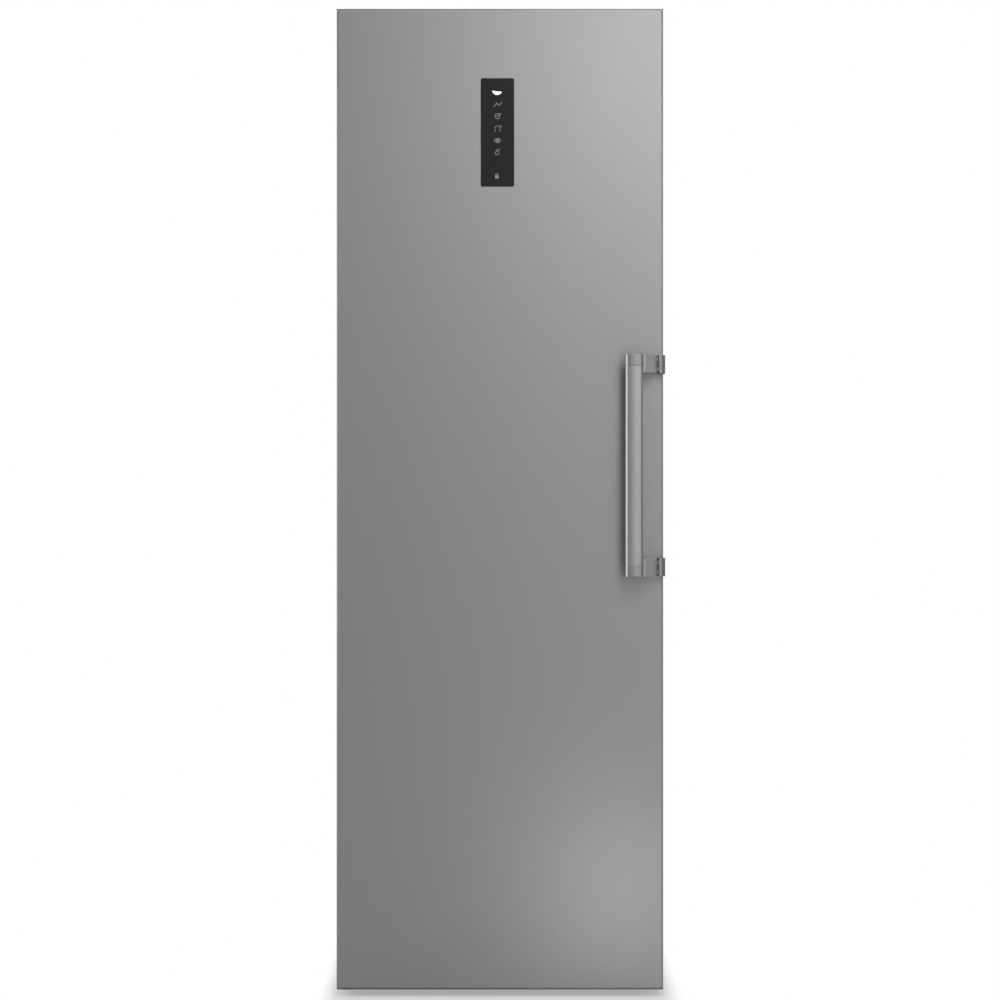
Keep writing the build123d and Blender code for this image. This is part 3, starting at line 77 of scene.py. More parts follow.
# %% Camera
picture_height = 1.8207
picture_middle = Vector((0.0002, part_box("door_skin")[0].y, 0.9053))
camera_distance = 3.6
camera_data = bpy.data.cameras.new("camera")
camera_data.sensor_width = 36.0
camera_data.lens = camera_data.sensor_width * camera_distance / picture_height
camera = bpy.data.objects.new("camera", camera_data)
camera.location = picture_middle - Vector((0, camera_distance, 0))
camera.rotation_euler = (radians(90), 0, 0)
bpy.context.scene.collection.objects.link(camera)
bpy.context.scene.camera = camera
print("lens", round(camera_data.lens, 1), "mm")

# %% [markdown]
# Trees of nodes are easier to read when short helpers make a node and feed its inputs. They serve
# materials, shader groups and geometry trees alike. An input takes a number, a colour, a socket, or a
# node, whose first output is then meant.

# %% Helpers for nodes
def feed(tree, node, values):
    """Give a node's inputs their values or their links."""
    for name, value in values.items():
        source = value.outputs[0] if isinstance(value, bpy.types.Node) else value
        if isinstance(source, bpy.types.NodeSocket):
            tree.links.new(source, node.inputs[name])
        else:
            node.inputs[name].default_value = source
    return node


def add(tree, kind, values=None, **settings):
    """Add a node to a tree, with its settings and what its inputs take."""
    node = tree.nodes.new(kind)
    for name, value in settings.items():
        setattr(node, name, value)
    return feed(tree, node, values or {})


def reckon(tree, operation, first, second, **settings):
    """Add a node that reckons with two numbers."""
    return add(tree, "ShaderNodeMath", {0: first, 1: second}, operation=operation, **settings)


def new_group(name, kind, inputs, outputs):
    """Start a group with named inputs and outputs, and return it with its two end nodes."""
    tree = bpy.data.node_groups.new(name, kind)
    for label, socket, value in inputs:
        item = tree.interface.new_socket(name=label, in_out="INPUT", socket_type="NodeSocket" + socket)
        if value is not None:
            item.default_value = value
    for label, socket in outputs:
        tree.interface.new_socket(name=label, in_out="OUTPUT", socket_type="NodeSocket" + socket)
    return tree, tree.nodes.new("NodeGroupInput"), tree.nodes.new("NodeGroupOutput")


print("helpers for nodes are ready")

# %% [markdown]
# Brushed steel shows fine lines that all run one way. A noise texture gives them when its coordinates
# are packed closely across the lines and stretched along them. The group puts out a value for colour
# and roughness and a height for the bump, and both steel and satin metal use it.

# %% Shader group: brushed grain
grain, ends, out = new_group(
    "brushed_grain", "ShaderNodeTree",
    [("Vector", "Vector", None), ("Across", "Float", 1800.0), ("Along", "Float", 6.0)],
    [("Value", "Float"), ("Height", "Float")])
stretch = add(grain, "ShaderNodeCombineXYZ", {"X": ends.outputs["Across"], "Y": ends.outputs["Across"],
                                              "Z": ends.outputs["Along"]})
packed = add(grain, "ShaderNodeVectorMath", {0: ends.outputs["Vector"], 1: stretch}, operation="MULTIPLY")
lines = add(grain, "ShaderNodeTexNoise", {"Vector": packed, "Scale": 1.0, "Detail": 3.0, "Roughness": 0.65})
wide = add(grain, "ShaderNodeVectorMath", {0: packed, "Scale": 0.04}, operation="SCALE")
bands = add(grain, "ShaderNodeTexNoise", {"Vector": wide, "Scale": 1.0, "Detail": 2.0})
both = add(grain, "ShaderNodeMix", {"Factor": 0.35, "A": lines, "B": bands})
feed(grain, out, {"Value": both.outputs["Result"], "Height": lines})
print("group", grain.name)

# %% [markdown]
# Paint and moulded plastic are never quite even: spray leaves a faint orange peel and moulds leave a
# fine grain. One group makes both from a noise texture whose grains are about a millimetre wide, with a
# slower noise over it for patches that differ a little in colour.

# %% Shader group: mottling
mottle, ends, out = new_group(
    "fine_mottling", "ShaderNodeTree", [("Vector", "Vector", None), ("Grain", "Float", 900.0)],
    [("Value", "Float"), ("Height", "Float")])
fine = add(mottle, "ShaderNodeTexNoise", {"Vector": ends.outputs["Vector"], "Scale": ends.outputs["Grain"],
                                          "Detail": 2.0})
slow = add(mottle, "ShaderNodeTexNoise", {"Vector": ends.outputs["Vector"], "Scale": 7.0, "Detail": 3.0})
both = add(mottle, "ShaderNodeMix", {"Factor": 0.6, "A": fine, "B": slow})
feed(mottle, out, {"Value": both.outputs["Result"], "Height": fine})
print("group", mottle.name)

# %% [markdown]
# Dust gathers low down and at the back, on feet, rollers, the base and the condenser. The group puts
# out a mask that is strong near the floor, fades with height and is broken up by noise.

# %% Shader group: dust
dust, ends, out = new_group(
    "low_dust", "ShaderNodeTree",
    [("Vector", "Vector", None), ("Reach", "Float", 0.3), ("Amount", "Float", 0.3)], [("Mask", "Float")])
position = add(dust, "ShaderNodeSeparateXYZ", {0: ends.outputs["Vector"]})
rise = reckon(dust, "DIVIDE", position.outputs["Z"], ends.outputs["Reach"])
fade = add(dust, "ShaderNodeMapRange", {"Value": rise, "To Min": 1.0, "To Max": 0.15})
patches = add(dust, "ShaderNodeTexNoise", {"Vector": ends.outputs["Vector"], "Scale": 60.0, "Detail": 5.0})
broken = reckon(dust, "MULTIPLY", fade, patches)
feed(dust, out, {"Mask": reckon(dust, "MULTIPLY", broken, ends.outputs["Amount"], use_clamp=True)})
print("group", dust.name)

# %% [markdown]
# Most finishes here are the same recipe with other numbers: a colour that varies a little, a roughness
# that varies with it and a shallow bump. So one function builds a material from a group, and each
# finish is one call. Numbers that are even over the surface stay on the shader's own sockets.

# %% A function for finishes
dust_colour = (0.38, 0.36, 0.33, 1.0)
bump_height = 0.001


def finish(name, colour, rough, group=mottle, texture=None, vary=0.06, spread=0.05, bump=0.02,
           dusty=0.0, plain=None):
    """A material whose colour, roughness and bump follow a shader group on object coordinates."""
    material = bpy.data.materials.new(name)
    material.use_nodes = True
    tree = material.node_tree
    where = add(tree, "ShaderNodeTexCoord").outputs["Object"]
    effect = add(tree, "ShaderNodeGroup", {"Vector": where, **(texture or {})}, node_tree=group)
    dark = [c * (1 - vary) for c in colour] + [1.0]
    light = [min(1.0, c * (1 + vary)) for c in colour] + [1.0]
    tint = add(tree, "ShaderNodeMix", {"Factor": effect.outputs["Value"], "A": dark, "B": light},
               data_type="RGBA")
    shade = tint.outputs["Result"]
    if dusty:
        veil = add(tree, "ShaderNodeGroup", {"Vector": where, "Amount": dusty}, node_tree=dust)
        cover = add(tree, "ShaderNodeMix", {"Factor": veil.outputs["Mask"], "A": shade, "B": dust_colour},
                    data_type="RGBA")
        shade = cover.outputs["Result"]
    gloss = add(tree, "ShaderNodeMapRange", {"Value": effect.outputs["Value"], "To Min": rough - spread,
                                             "To Max": rough + spread})
    relief = add(tree, "ShaderNodeBump", {"Height": effect.outputs["Height"], "Strength": bump,
                                          "Distance": bump_height})
    feed(tree, tree.nodes["Principled BSDF"],
         {"Base Color": shade, "Roughness": gloss, "Normal": relief, **(plain or {})})
    return material


print("finishes can be made")

# %% [markdown]
# The door and handle are metal. The door's lines run upright, as in the photograph, and are so fine
# that they show only as a silky look. The other metals differ in colour, gloss and the scale of their
# grain.

# %% Metals
metal = {"Metallic": 1.0}
door_steel = finish("door_steel", (0.322, 0.322, 0.322), 0.54, grain, {"Across": 1500.0, "Along": 5.0},
                    vary=0.05, spread=0.04, bump=0.1, plain=metal)
handle_metal = finish("handle_metal", (0.31, 0.31, 0.31), 0.42, grain, {"Across": 2200.0, "Along": 9.0},
                      vary=0.04, spread=0.04, bump=0.06, plain=metal)
# A much brighter metal for the handle's left edges: a painted highlight.
painted_highlight_edge = finish("painted_highlight_edge", (0.72, 0.72, 0.72), 0.46, vary=0.03, spread=0.03, plain=metal)
bracket_steel = finish("bracket_steel", (0.6, 0.61, 0.63), 0.35, plain=metal)
zinc = finish("zinc", (0.52, 0.54, 0.56), 0.45, vary=0.16, spread=0.1, texture={"Grain": 140.0},
              dusty=0.35, plain=metal)
chrome = finish("chrome", (0.78, 0.79, 0.8), 0.12, vary=0.02, spread=0.03, plain=metal)
copper = finish("copper", (0.72, 0.37, 0.24), 0.36, vary=0.14, spread=0.1, texture={"Grain": 300.0},
                dusty=0.2, plain=metal)
evaporator_metal = finish("evaporator_metal", (0.7, 0.71, 0.72), 0.4, plain=metal)
print("metals are ready")

# %% [markdown]
# The handle's ends, arms and bases are moulded and coated to look like its metal, so they are a little less
# metallic. The arms get a lighter copy of that coating, which is painted light on the faces that lean
# towards the lamps at the right. The rest is white, clear or black moulding, rubber, foam and board.

# %% Plastics, rubber, foam and board
handle_plastic = finish("handle_plastic", (0.26, 0.26, 0.262), 0.42, vary=0.04, plain={"Metallic": 0.8})
cap_plastic = finish("cap_plastic", (0.26, 0.26, 0.262), 0.42, vary=0.03, plain={"Metallic": 0.9})
# The arms' copy of the coating is lighter: painted light.
arm_plastic_painted_light = finish("arm_plastic_painted_light", (0.46, 0.46, 0.462), 0.42, vary=0.04, plain={"Metallic": 0.9})
dark_trim = finish("dark_trim", (0.07, 0.07, 0.073), 0.5, bump=0.08, dusty=0.08)
white_moulded = finish("white_moulded", (0.84, 0.85, 0.85), 0.32, vary=0.02)
black_plastic = finish("black_plastic", (0.025, 0.025, 0.027), 0.48, bump=0.1, dusty=0.2)
black_rubber = finish("black_rubber", (0.02, 0.02, 0.02), 0.75, bump=0.15, dusty=0.3)
seal_rubber = finish("seal_rubber", (0.3, 0.3, 0.31), 0.6, bump=0.05)
natural_plastic = finish("natural_plastic", (0.78, 0.77, 0.72), 0.5, bump=0.05)
foam = finish("foam", (0.82, 0.74, 0.5), 0.85, texture={"Grain": 500.0}, vary=0.15, bump=0.6)
board_green = finish("board_green", (0.02, 0.16, 0.07), 0.35, vary=0.25, texture={"Grain": 260.0},
                     plain={"Coat Weight": 0.6})
print("plastics are ready")

# %% [markdown]
# Clear pieces are glass-like: a plain transmission weight with a faint tint. The window of the control
# strip is a gloss black with a clear coat, and its lit sign and the lamp's lens give off a little light.
# Cabinet and compressor are painted.

# %% Glass, paint and lit pieces
black_gloss = finish("black_gloss", (0.009, 0.009, 0.0095), 0.2, vary=0.1, spread=0.02, bump=0.0005,
                     plain={"Coat Weight": 0.6, "Coat Roughness": 0.04, "Specular IOR Level": 0.3})
clear_moulded = finish("clear_moulded", (0.88, 0.94, 0.96), 0.1, vary=0.02, spread=0.04, bump=0.01,
                       plain={"Transmission Weight": 0.92, "IOR": 1.49})
shelf_glass = finish("shelf_glass", (0.86, 0.95, 0.91), 0.04, vary=0.02, spread=0.02, bump=0.002,
                     plain={"Transmission Weight": 1.0, "IOR": 1.52})
frosted_lens = finish("frosted_lens", (0.93, 0.93, 0.92), 0.5, vary=0.02, bump=0.05,
                      plain={"Transmission Weight": 0.5, "Emission Color": (1.0, 0.97, 0.92, 1.0),
                             "Emission Strength": 0.6})
lamp_white = finish("lamp_white", (0.95, 0.95, 0.95), 0.3, vary=0.02,
                    plain={"Emission Color": (1.0, 1.0, 1.0, 1.0), "Emission Strength": 1.4})
symbol_grey = finish("symbol_grey", (0.26, 0.26, 0.265), 0.5, vary=0.05)
cabinet_paint = finish("cabinet_paint", (0.27, 0.275, 0.28), 0.42, texture={"Grain": 420.0}, bump=0.1,
                       dusty=0.05)
black_enamel = finish("black_enamel", (0.018, 0.018, 0.02), 0.34, texture={"Grain": 350.0}, bump=0.08,
                      dusty=0.3)
print(len(bpy.data.materials), "materials")

# %% [markdown]
# A shape that is right in the imported model stays, and only gets its finish. A new piece is put at the
# origin, with its place in its mesh. It rides on the body of the node that it stands for, or on one that is
# named.

# %% Placing a piece
def paint(material, *nodes):
    """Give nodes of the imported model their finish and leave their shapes."""
    for node in nodes:
        mesh = frame["nodes"][node].data
        mesh.materials.clear()
        mesh.materials.append(material)


def as_object(name, mesh, *materials):
    """Put a mesh in the scene as an object at the origin."""
    for material in materials:
        mesh.materials.append(material)
    piece = bpy.data.objects.new(name, mesh)
    bpy.context.scene.collection.objects.link(piece)
    return piece


def as_mesh(name, work):
    """End the work on a mesh and return the result."""
    mesh = bpy.data.meshes.new(name)
    work.to_mesh(mesh)
    work.free()
    return mesh


def keep(name, work, *materials):
    """End the work on a mesh and put the result in the scene."""
    return as_object(name, as_mesh(name, work), *materials)


def settle(piece, body, slot, *nodes):
    """Let a finished piece ride on its body and stand for the nodes that it replaces."""
    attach(piece, body)
    if nodes:
        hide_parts(*nodes)
    return piece


def stand_for(piece, node):
    """Let a finished piece take the place of one node, riding on the node's body."""
    return settle(piece, body_of[node], slot_of[node], node)


print("pieces can be painted or replaced")

# %% [markdown]
# Moulded and pressed pieces have softer edges than a plain solid, so most get a copy whose edges are
# rounded by a bevel. A copy starts as loose triangles: they are merged and flat faces joined before the
# bevel finds its edges. Weighted normals then keep the wide faces flat in the light.

# %% Softening edges
def round_edges(piece, radius, segments=2):
    """Round a piece's sharp edges, and let its wide faces keep their own direction in the light."""
    piece.data.shade_smooth()
    bevel = piece.modifiers.new("edges", "BEVEL")
    bevel.width = radius
    bevel.segments = segments
    bevel.limit_method = "ANGLE"
    bevel.angle_limit = radians(32)
    bevel.use_clamp_overlap = False
    even = piece.modifiers.new("even", "WEIGHTED_NORMAL")
    even.weight = 95
    return piece


def soften(node, material, radius, segments=2, reshape=None):
    """Stand a copy of a node, with its edges rounded, in the node's place."""
    work = bmesh.new()
    work.from_mesh(frame["nodes"][node].data)
    bmesh.ops.remove_doubles(work, verts=work.verts, dist=1e-6)
    bmesh.ops.dissolve_limit(work, angle_limit=radians(0.5), verts=work.verts, edges=work.edges)
    if reshape:
        for vertex in work.verts:
            vertex.co = reshape(vertex.co)
    piece = keep(node + "_soft", work, material)
    return stand_for(round_edges(piece, radius, segments), node)


print("edges can be softened")

# %% [markdown]
# The door's outside is a folded steel skin over a dark cap at each end. The skin's bends are already
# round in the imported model, so it keeps its mesh. The caps are moulded and get soft edges.

# %% Door outside
paint(door_steel, "door_skin")
soften("door_top_cap", dark_trim, 0.0006)
soften("door_bottom_cap", dark_trim, 0.0006)
soften("control_panel", black_gloss, 0.0005)
paint(board_green, "control_board")
paint(foam, "door_insulation")
print("door outside: skin, two caps and control strip")

# %% [markdown]
# The handle is a lever: a bar on two arms that turn on pins in two bases at the door's edge. Light runs
# along the bar's left edge and fades across its front, so the front isn't flat but slightly crowned. An
# outline of a few arcs, seen from above, is carried straight up: once for the bar, twice for its caps.

# %% Outlines made of arcs
def arc(centre, radius, start, stop, steps):
    """Points of an arc between two angles in degrees."""
    angles = [radians(start + (stop - start) * step / steps) for step in range(steps + 1)]
    return [(centre[0] + radius * cos(angle), centre[1] + radius * sin(angle)) for angle in angles]


def upright_prism(name, outline, levels, *materials):
    """A closed prism for each pair of levels, on an outline seen from above."""
    work = bmesh.new()
    for low_level, high_level in levels:
        lower = [work.verts.new((x, y, low_level)) for x, y in outline]
        upper = [work.verts.new((x, y, high_level)) for x, y in outline]
        work.faces.new(lower[::-1])
        work.faces.new(upper)
        for index in range(len(outline)):
            after = (index + 1) % len(outline)
            work.faces.new((lower[index], lower[after], upper[after], upper[index]))
    return keep(name, work, *materials)


print("outlines can be carried up")

# %% [markdown]
# The crown is one wide arc across the front. Its ends meet the small arcs of the front edges at the
# same slope, so that no line shows where they join.

# %% The bar's outline
bar_low, bar_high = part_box("handle_bar")
bar_edge = 0.005
crown_radius = 0.07
bar_middle = (bar_low.x + bar_high.x) / 2
bar_reach = (bar_high.x - bar_low.x) / 2 - bar_edge
crown_lean = degrees(asin(bar_reach / (crown_radius - bar_edge)))
crown_y = bar_low.y + crown_radius
front_y = crown_y - (crown_radius - bar_edge) * cos(radians(crown_lean))
back_y = bar_high.y - bar_edge
right_x, left_x = bar_high.x - bar_edge, bar_low.x + bar_edge
bar_outline = (arc((bar_middle, crown_y), crown_radius, -90 - crown_lean, -90 + crown_lean, 12)
               + arc((right_x, front_y), bar_edge, -90 + crown_lean, 0, 8)[1:]
               + arc((right_x, back_y), bar_edge, 0, 90, 6)
               + arc((left_x, back_y), bar_edge, 90, 180, 6)
               + arc((left_x, front_y), bar_edge, 180, 270 - crown_lean, 8)[:-1])
print(len(bar_outline), "points round the bar, crowned by", round(crown_lean, 1), "degrees to each side")

# %% [markdown]
# The bar's left edge gets a much brighter metal, a painted highlight, so that it shows as one light line
# from cap to cap. The same test, made on the faces' directions, finds it on the bar and on the caps.

# %% Bar and caps
def paint_left_highlight(piece):
    """Give the rounded front edge at a piece's left its second finish, the brighter metal of a painted
    highlight.
    """
    for face in piece.data.polygons:
        if face.normal.x < -0.2 and face.normal.y < -0.15:
            face.material_index = 1
    return piece


caps_low, caps_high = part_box("handle_end_caps")
grip = upright_prism("drawn_bar", bar_outline, [(bar_low.z, bar_high.z)], handle_metal, painted_highlight_edge)
stand_for(round_edges(paint_left_highlight(grip), 0.0002, 1), "handle_bar")
caps = upright_prism("moulded_caps", bar_outline, [(caps_low.z, bar_low.z), (bar_high.z, caps_high.z)],
                     cap_plastic, painted_highlight_edge)
stand_for(round_edges(paint_left_highlight(caps), 0.0008, 3), "handle_end_caps")
print("bar", round(1000 * (bar_high.z - bar_low.z)), "mm long between its caps")

# %% [markdown]
# Each arm ends in a finger that drives a pusher through the door, which parts the seal as the handle is
# pulled. The finger gets the dark trim as painted shade, for the shade deep in the base.

# %% Arms, pushers and pins
painted_shade_from = 0.288
arms = soften("handle_arms", arm_plastic_painted_light, 0.0008, 3)
# The finger's faces take the dark trim: painted shade.
arms.data.materials.append(dark_trim)
for face in arms.data.polygons:
    if max(arms.data.vertices[corner].co.x for corner in face.vertices) > painted_shade_from:
        face.material_index = 1
soften("seal_pushers", natural_plastic, 0.0004)
paint(bracket_steel, "handle_pins")
print("arms, pushers and pins")

# %% [markdown]
# Each base wraps the door's edge. In the photograph its front is one smooth cover with a slanted outer
# edge, which hides the lugs and the finger behind it, so a thin cover goes over each base and the base
# is shaved to fit under its slant. The cover stays clear of the arm, whose corner comes near as the
# handle is pulled.

# %% Bases and their covers
base_low, base_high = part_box("handle_bases")
base_height = 0.033
cover_left = 0.2884
cover_right = base_high.x - 0.0001
cover_front = base_low.y - 0.0025
cover_back = base_low.y - 0.0008
shaved_off = 0.0004
slant = radians(40)
slant_start = Vector((0.2934, cover_front, 0))
slant_way = Vector((cos(slant), sin(slant), 0))
slant_facing = Vector((slant_way.y, -slant_way.x, 0))
slant_end = slant_start + slant_way * (base_high.x - slant_start.x) / slant_way.x


def shave(place):
    """Bring a point of a base that stands outside the cover's slant back behind it, just inside the box."""
    proud = (place - slant_start).dot(slant_facing) + shaved_off
    if proud > 0 and place.y < slant_end.y + 0.002:
        place = place - slant_facing * proud
    return Vector((min(place.x, base_high.x - 0.00001), place.y, place.z))


soften("handle_bases", handle_plastic, 0.0002, 1, shave)
cover_outline = [(cover_left, cover_front), (slant_start.x, cover_front), (cover_right, slant_end.y),
                 (cover_right, slant_end.y + 0.0012), (cover_right - 0.001, slant_end.y + 0.0008),
                 (slant_start.x - 0.0004, cover_back), (cover_left, cover_back)]
heights = [(base_low.z, base_low.z + base_height), (base_high.z - base_height, base_high.z)]
covers = round_edges(upright_prism("base_covers", cover_outline, heights, handle_plastic), 0.0003, 2)
settle(covers, "door", slot_of["handle_bases"])
print("two bases with covers")

# %% [markdown]
# The cabinet is a painted wrapper with a bent sheet behind it, on a zinc coated base. The room inside
# is one white vacuum formed sheet. Sheets keep their meshes, and what is moulded is softened.

# %% Cabinet and its moulded inside
paint(cabinet_paint, "outer_wrapper")
paint(zinc, "back_panel", "base_frame")
paint(foam, "cabinet_insulation")
paint(bracket_steel, "hinge_pins")
paint(natural_plastic, "hinge_bushes")
soften("inner_liner", white_moulded, 0.0008)
soften("air_duct_cover", white_moulded, 0.0003, 1)
soften("kick_plate", dark_trim, 0.0006)
soften("hinge_cover", dark_trim, 0.0008)
soften("upper_hinge_bracket", bracket_steel, 0.0003)
soften("lower_hinge_bracket", bracket_steel, 0.0003)
print("cabinet: wrapper, back, base, liner and hinges")

# %% [markdown]
# Shelves are plates of safety glass in white trims. Drawers and door bins are clear mouldings, whose
# rounded rims catch the light, so their bevels have an extra step.

# %% Shelves, drawers and bins
for number in (1, 2, 3, 4):
    soften(f"glass_shelf_{number}", shelf_glass, 0.0008)
soften("crisper_cover", shelf_glass, 0.0008)
soften("shelf_trims", white_moulded, 0.0008)
for node in ("upper_drawer", "lower_drawer", "bottle_bin", "middle_bin", "upper_bin", "dairy_bin",
             "dairy_lid"):
    soften(node, clear_moulded, 0.0006, 3)
soften("door_liner", white_moulded, 0.0008)
soften("light_lens", frosted_lens, 0.0006)
paint(board_green, "light_board")
paint(evaporator_metal, "evaporator")
paint(black_plastic, "fan_motor")
print("inside: shelves, drawers, bins and light")

# %% [markdown]
# The machine room at the back holds the compressor on rubber feet, with a tray on its warm top for
# melt water, and the mains inlet beside it.

# %% Machine room
paint(black_rubber, "compressor_grommets")
paint(natural_plastic, "drain_tube")
soften("terminal_cover", black_plastic, 0.001)
soften("evaporation_tray", black_plastic, 0.0008)
soften("mains_inlet", black_plastic, 0.0005)
soften("condenser_brackets", black_plastic, 0.001)
print("machine room: rubber feet, covers, tray and inlet")

# %% [markdown]
# Several pieces repeat or follow a path, and geometry trees make them. Each tree takes a mesh, its own
# sizes and a material, and ends by making its copies real and coating them.

# %% Starting and ending a geometry tree
def new_tree(name, inputs):
    """Start a geometry tree, and return it with its two end nodes."""
    return new_group(name, "GeometryNodeTree",
                     [("Geometry", "Geometry", None), *inputs, ("Material", "Material", None)],
                     [("Geometry", "Geometry")])


def end_tree(tree, ends, out, shape):
    """End a geometry tree: make its copies real and give them the material."""
    real = add(tree, "GeometryNodeRealizeInstances", {"Geometry": shape})
    feed(tree, out, {"Geometry": add(tree, "GeometryNodeSetMaterial", {
        "Geometry": real, "Material": ends.outputs["Material"]})})
    print("tree", tree.name)


print("trees can be started and ended")

# %% [markdown]
# Tubes and wires follow a path. This tree turns a line of points into a tube: it rounds the corners,
# then sweeps a circle along the result. It serves the condenser, the refrigerant pipes and the wires of
# the bottle rack, each with its own sizes.

# %% Geometry tree: a tube along a path
tube_tree, ends, out = new_tree(
    "tube_on_path", [("Bend", "Float", 0.01), ("Radius", "Float", 0.003), ("Sides", "Int", 12),
                     ("Steps", "Int", 8)])
path = add(tube_tree, "GeometryNodeMeshToCurve", {"Mesh": ends.outputs["Geometry"]})
rounded = add(tube_tree, "GeometryNodeFilletCurve",
              {"Curve": path, "Count": ends.outputs["Steps"], "Radius": ends.outputs["Bend"],
               "Limit Radius": True}, mode="POLY")
ring = add(tube_tree, "GeometryNodeCurvePrimitiveCircle",
           {"Radius": ends.outputs["Radius"], "Resolution": ends.outputs["Sides"]})
swept = add(tube_tree, "GeometryNodeCurveToMesh",
            {"Curve": rounded, "Profile Curve": ring, "Fill Caps": True})
end_tree(tube_tree, ends, out, add(tube_tree, "GeometryNodeSetShadeSmooth", {"Geometry": swept}))

# %% [markdown]
# A tree works as a modifier on a mesh. Its result is taken as a plain mesh and the modifier goes, so
# that what is kept is simple and can be joined with other pieces.

# %% Running a tree and keeping its result
def grow(name, mesh, tree, **values):
    """Run a geometry tree on a mesh and return the result as a new object with a plain mesh."""
    source = as_object(name + "_source", mesh)
    modifier = source.modifiers.new("grow", "NODES")
    modifier.node_group = tree
    for item in tree.interface.items_tree:
        if item.item_type == "SOCKET" and item.in_out == "INPUT" and item.name in values:
            modifier[item.identifier] = values[item.name]
    source.update_tag()
    depsgraph = bpy.context.evaluated_depsgraph_get()
    result = bpy.data.meshes.new_from_object(source.evaluated_get(depsgraph))
    result.name = name
    source.modifiers.remove(modifier)
    bpy.data.objects.remove(source)
    print(name, len(result.polygons), "faces")
    return as_object(name, result)


def path_mesh(*paths):
    """A mesh of bare lines through the given points, one line for each list."""
    points, edges = [], []
    for line in paths:
        start = len(points)
        points += line
        edges += [(index, index + 1) for index in range(start, len(points) - 1)]
    mesh = bpy.data.meshes.new("paths")
    mesh.from_pydata(points, edges, [])
    return mesh


def join(name, *pieces):
    """Join the meshes of several objects of one finish into one object."""
    material = pieces[0].data.materials[0]
    work = bmesh.new()
    for piece in pieces:
        work.from_mesh(piece.data)
        bpy.data.objects.remove(piece)
    return keep(name, work, material)


print("trees can be run")

# %% [markdown]
# Upright wires repeat along a row, and so do the ridges of a thread. This tree repeats a piece along a
# line, and shifts every other copy aside, because wires lie in turn behind and in front of a tube.

# %% Geometry tree: a row of copies
row_tree, ends, out = new_tree(
    "row_of_copies", [("Count", "Int", 10), ("Step", "Vector", None), ("Aside", "Vector", None)])
stops = add(row_tree, "GeometryNodeMeshLine", {"Count": ends.outputs["Count"],
                                               "Offset": ends.outputs["Step"]})
parity = reckon(row_tree, "MODULO", add(row_tree, "GeometryNodeInputIndex"), 2.0)
shift = add(row_tree, "ShaderNodeVectorMath", {0: ends.outputs["Aside"], "Scale": parity}, operation="SCALE")
moved = add(row_tree, "GeometryNodeSetPosition", {"Geometry": stops, "Offset": shift})
end_tree(row_tree, ends, out, add(row_tree, "GeometryNodeInstanceOnPoints", {
    "Points": moved, "Instance": ends.outputs["Geometry"]}))

# %% [markdown]
# The condenser is one long tube that winds down the back between upright wires. The tube's turns take
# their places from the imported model's box, and the tube tree rounds them.

# %% Condenser
tube_radius = 0.003
wire_radius = 0.0008
coil_low, coil_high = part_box("condenser")
coil_y = (coil_low.y + coil_high.y) / 2
coil_top = coil_high.z - 2 * tube_radius
coil_turns = 14
coil_pitch = 0.064
half_run = 0.215
coil_path = []
for run in range(coil_turns):
    run_z = coil_top - coil_pitch * run
    way = 1 if run % 2 else -1
    from_x = coil_high.x if run else half_run
    to_x = coil_high.x if run < coil_turns - 1 else half_run
    coil_path += [(way * from_x, coil_y, run_z), (-way * to_x, coil_y, run_z)]
winding = grow("condenser_tube", path_mesh(coil_path), tube_tree, Bend=coil_pitch / 2, Radius=tube_radius,
               Sides=12, Steps=8, Material=black_enamel)
wires_span = 2 * 0.153
wire_count = 18
wire_gap = tube_radius + 0.0003 + wire_radius
wire_ends = [(-wires_span / 2, coil_y - wire_gap, end_z)
             for end_z in (coil_low.z + 0.0001, coil_high.z - 0.0001)]
wire = grow("condenser_wire", path_mesh(wire_ends), tube_tree, Bend=0.0, Radius=wire_radius, Sides=6,
            Steps=1, Material=black_enamel)
wires = grow("condenser_wires", wire.data, row_tree, Count=wire_count,
             Step=(wires_span / (wire_count - 1), 0, 0), Aside=(0, 2 * wire_gap, 0), Material=black_enamel)
bpy.data.objects.remove(wire)
stand_for(join("condenser_winding", winding, wires), "condenser")

# %% [markdown]
# The refrigerant pipes are thin copper tubes. The discharge pipe climbs from the compressor to the top
# of the condenser, the liquid line comes down from its end to the filter drier and goes on as a thin
# capillary, and the suction pipe returns from the cold room. They are routes for the tube tree too.

# %% Refrigerant pipes
pot_low, pot_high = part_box("compressor")
pot_radius = 0.074
pot_x = (pot_low.x + pot_high.x) / 2
pot_y = (pot_low.y + pot_high.y) / 2
pot_side = pot_x - pot_radius + 0.003
pipe_radius = 0.003
capillary_radius = 0.0015
coil_end = -half_run - 0.0003
outer_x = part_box("refrigerant_pipes")[0].x + pipe_radius
drop_x = outer_x + 6 * pipe_radius
coil_foot = coil_low.z + 2 * pipe_radius
roof_z = 0.2397
discharge_z, suction_z = 0.094, 0.162
discharge_turn, suction_turn = pot_side - 0.063, pot_side - 0.051
drier_low, drier_high = 0.138, 0.228
capillary_z = drier_low - 0.024
capillary_x, capillary_y = drop_x + 0.036, coil_y - 0.048
discharge = [(pot_side, pot_y, discharge_z), (discharge_turn, pot_y, discharge_z),
             (discharge_turn, coil_y, discharge_z), (outer_x, coil_y, discharge_z),
             (outer_x, coil_y, coil_top), (coil_end, coil_y, coil_top)]
liquid = [(coil_end, coil_y, coil_foot), (drop_x, coil_y, coil_foot), (drop_x, coil_y, drier_high - 0.002)]
suction = [(pot_side, pot_y, suction_z), (suction_turn, pot_y, suction_z), (suction_turn, pot_y, roof_z)]
capillary = [(drop_x, coil_y, drier_low + 0.002), (drop_x, coil_y, capillary_z),
             (capillary_x, coil_y, capillary_z), (capillary_x, capillary_y, capillary_z),
             (capillary_x, capillary_y, roof_z)]
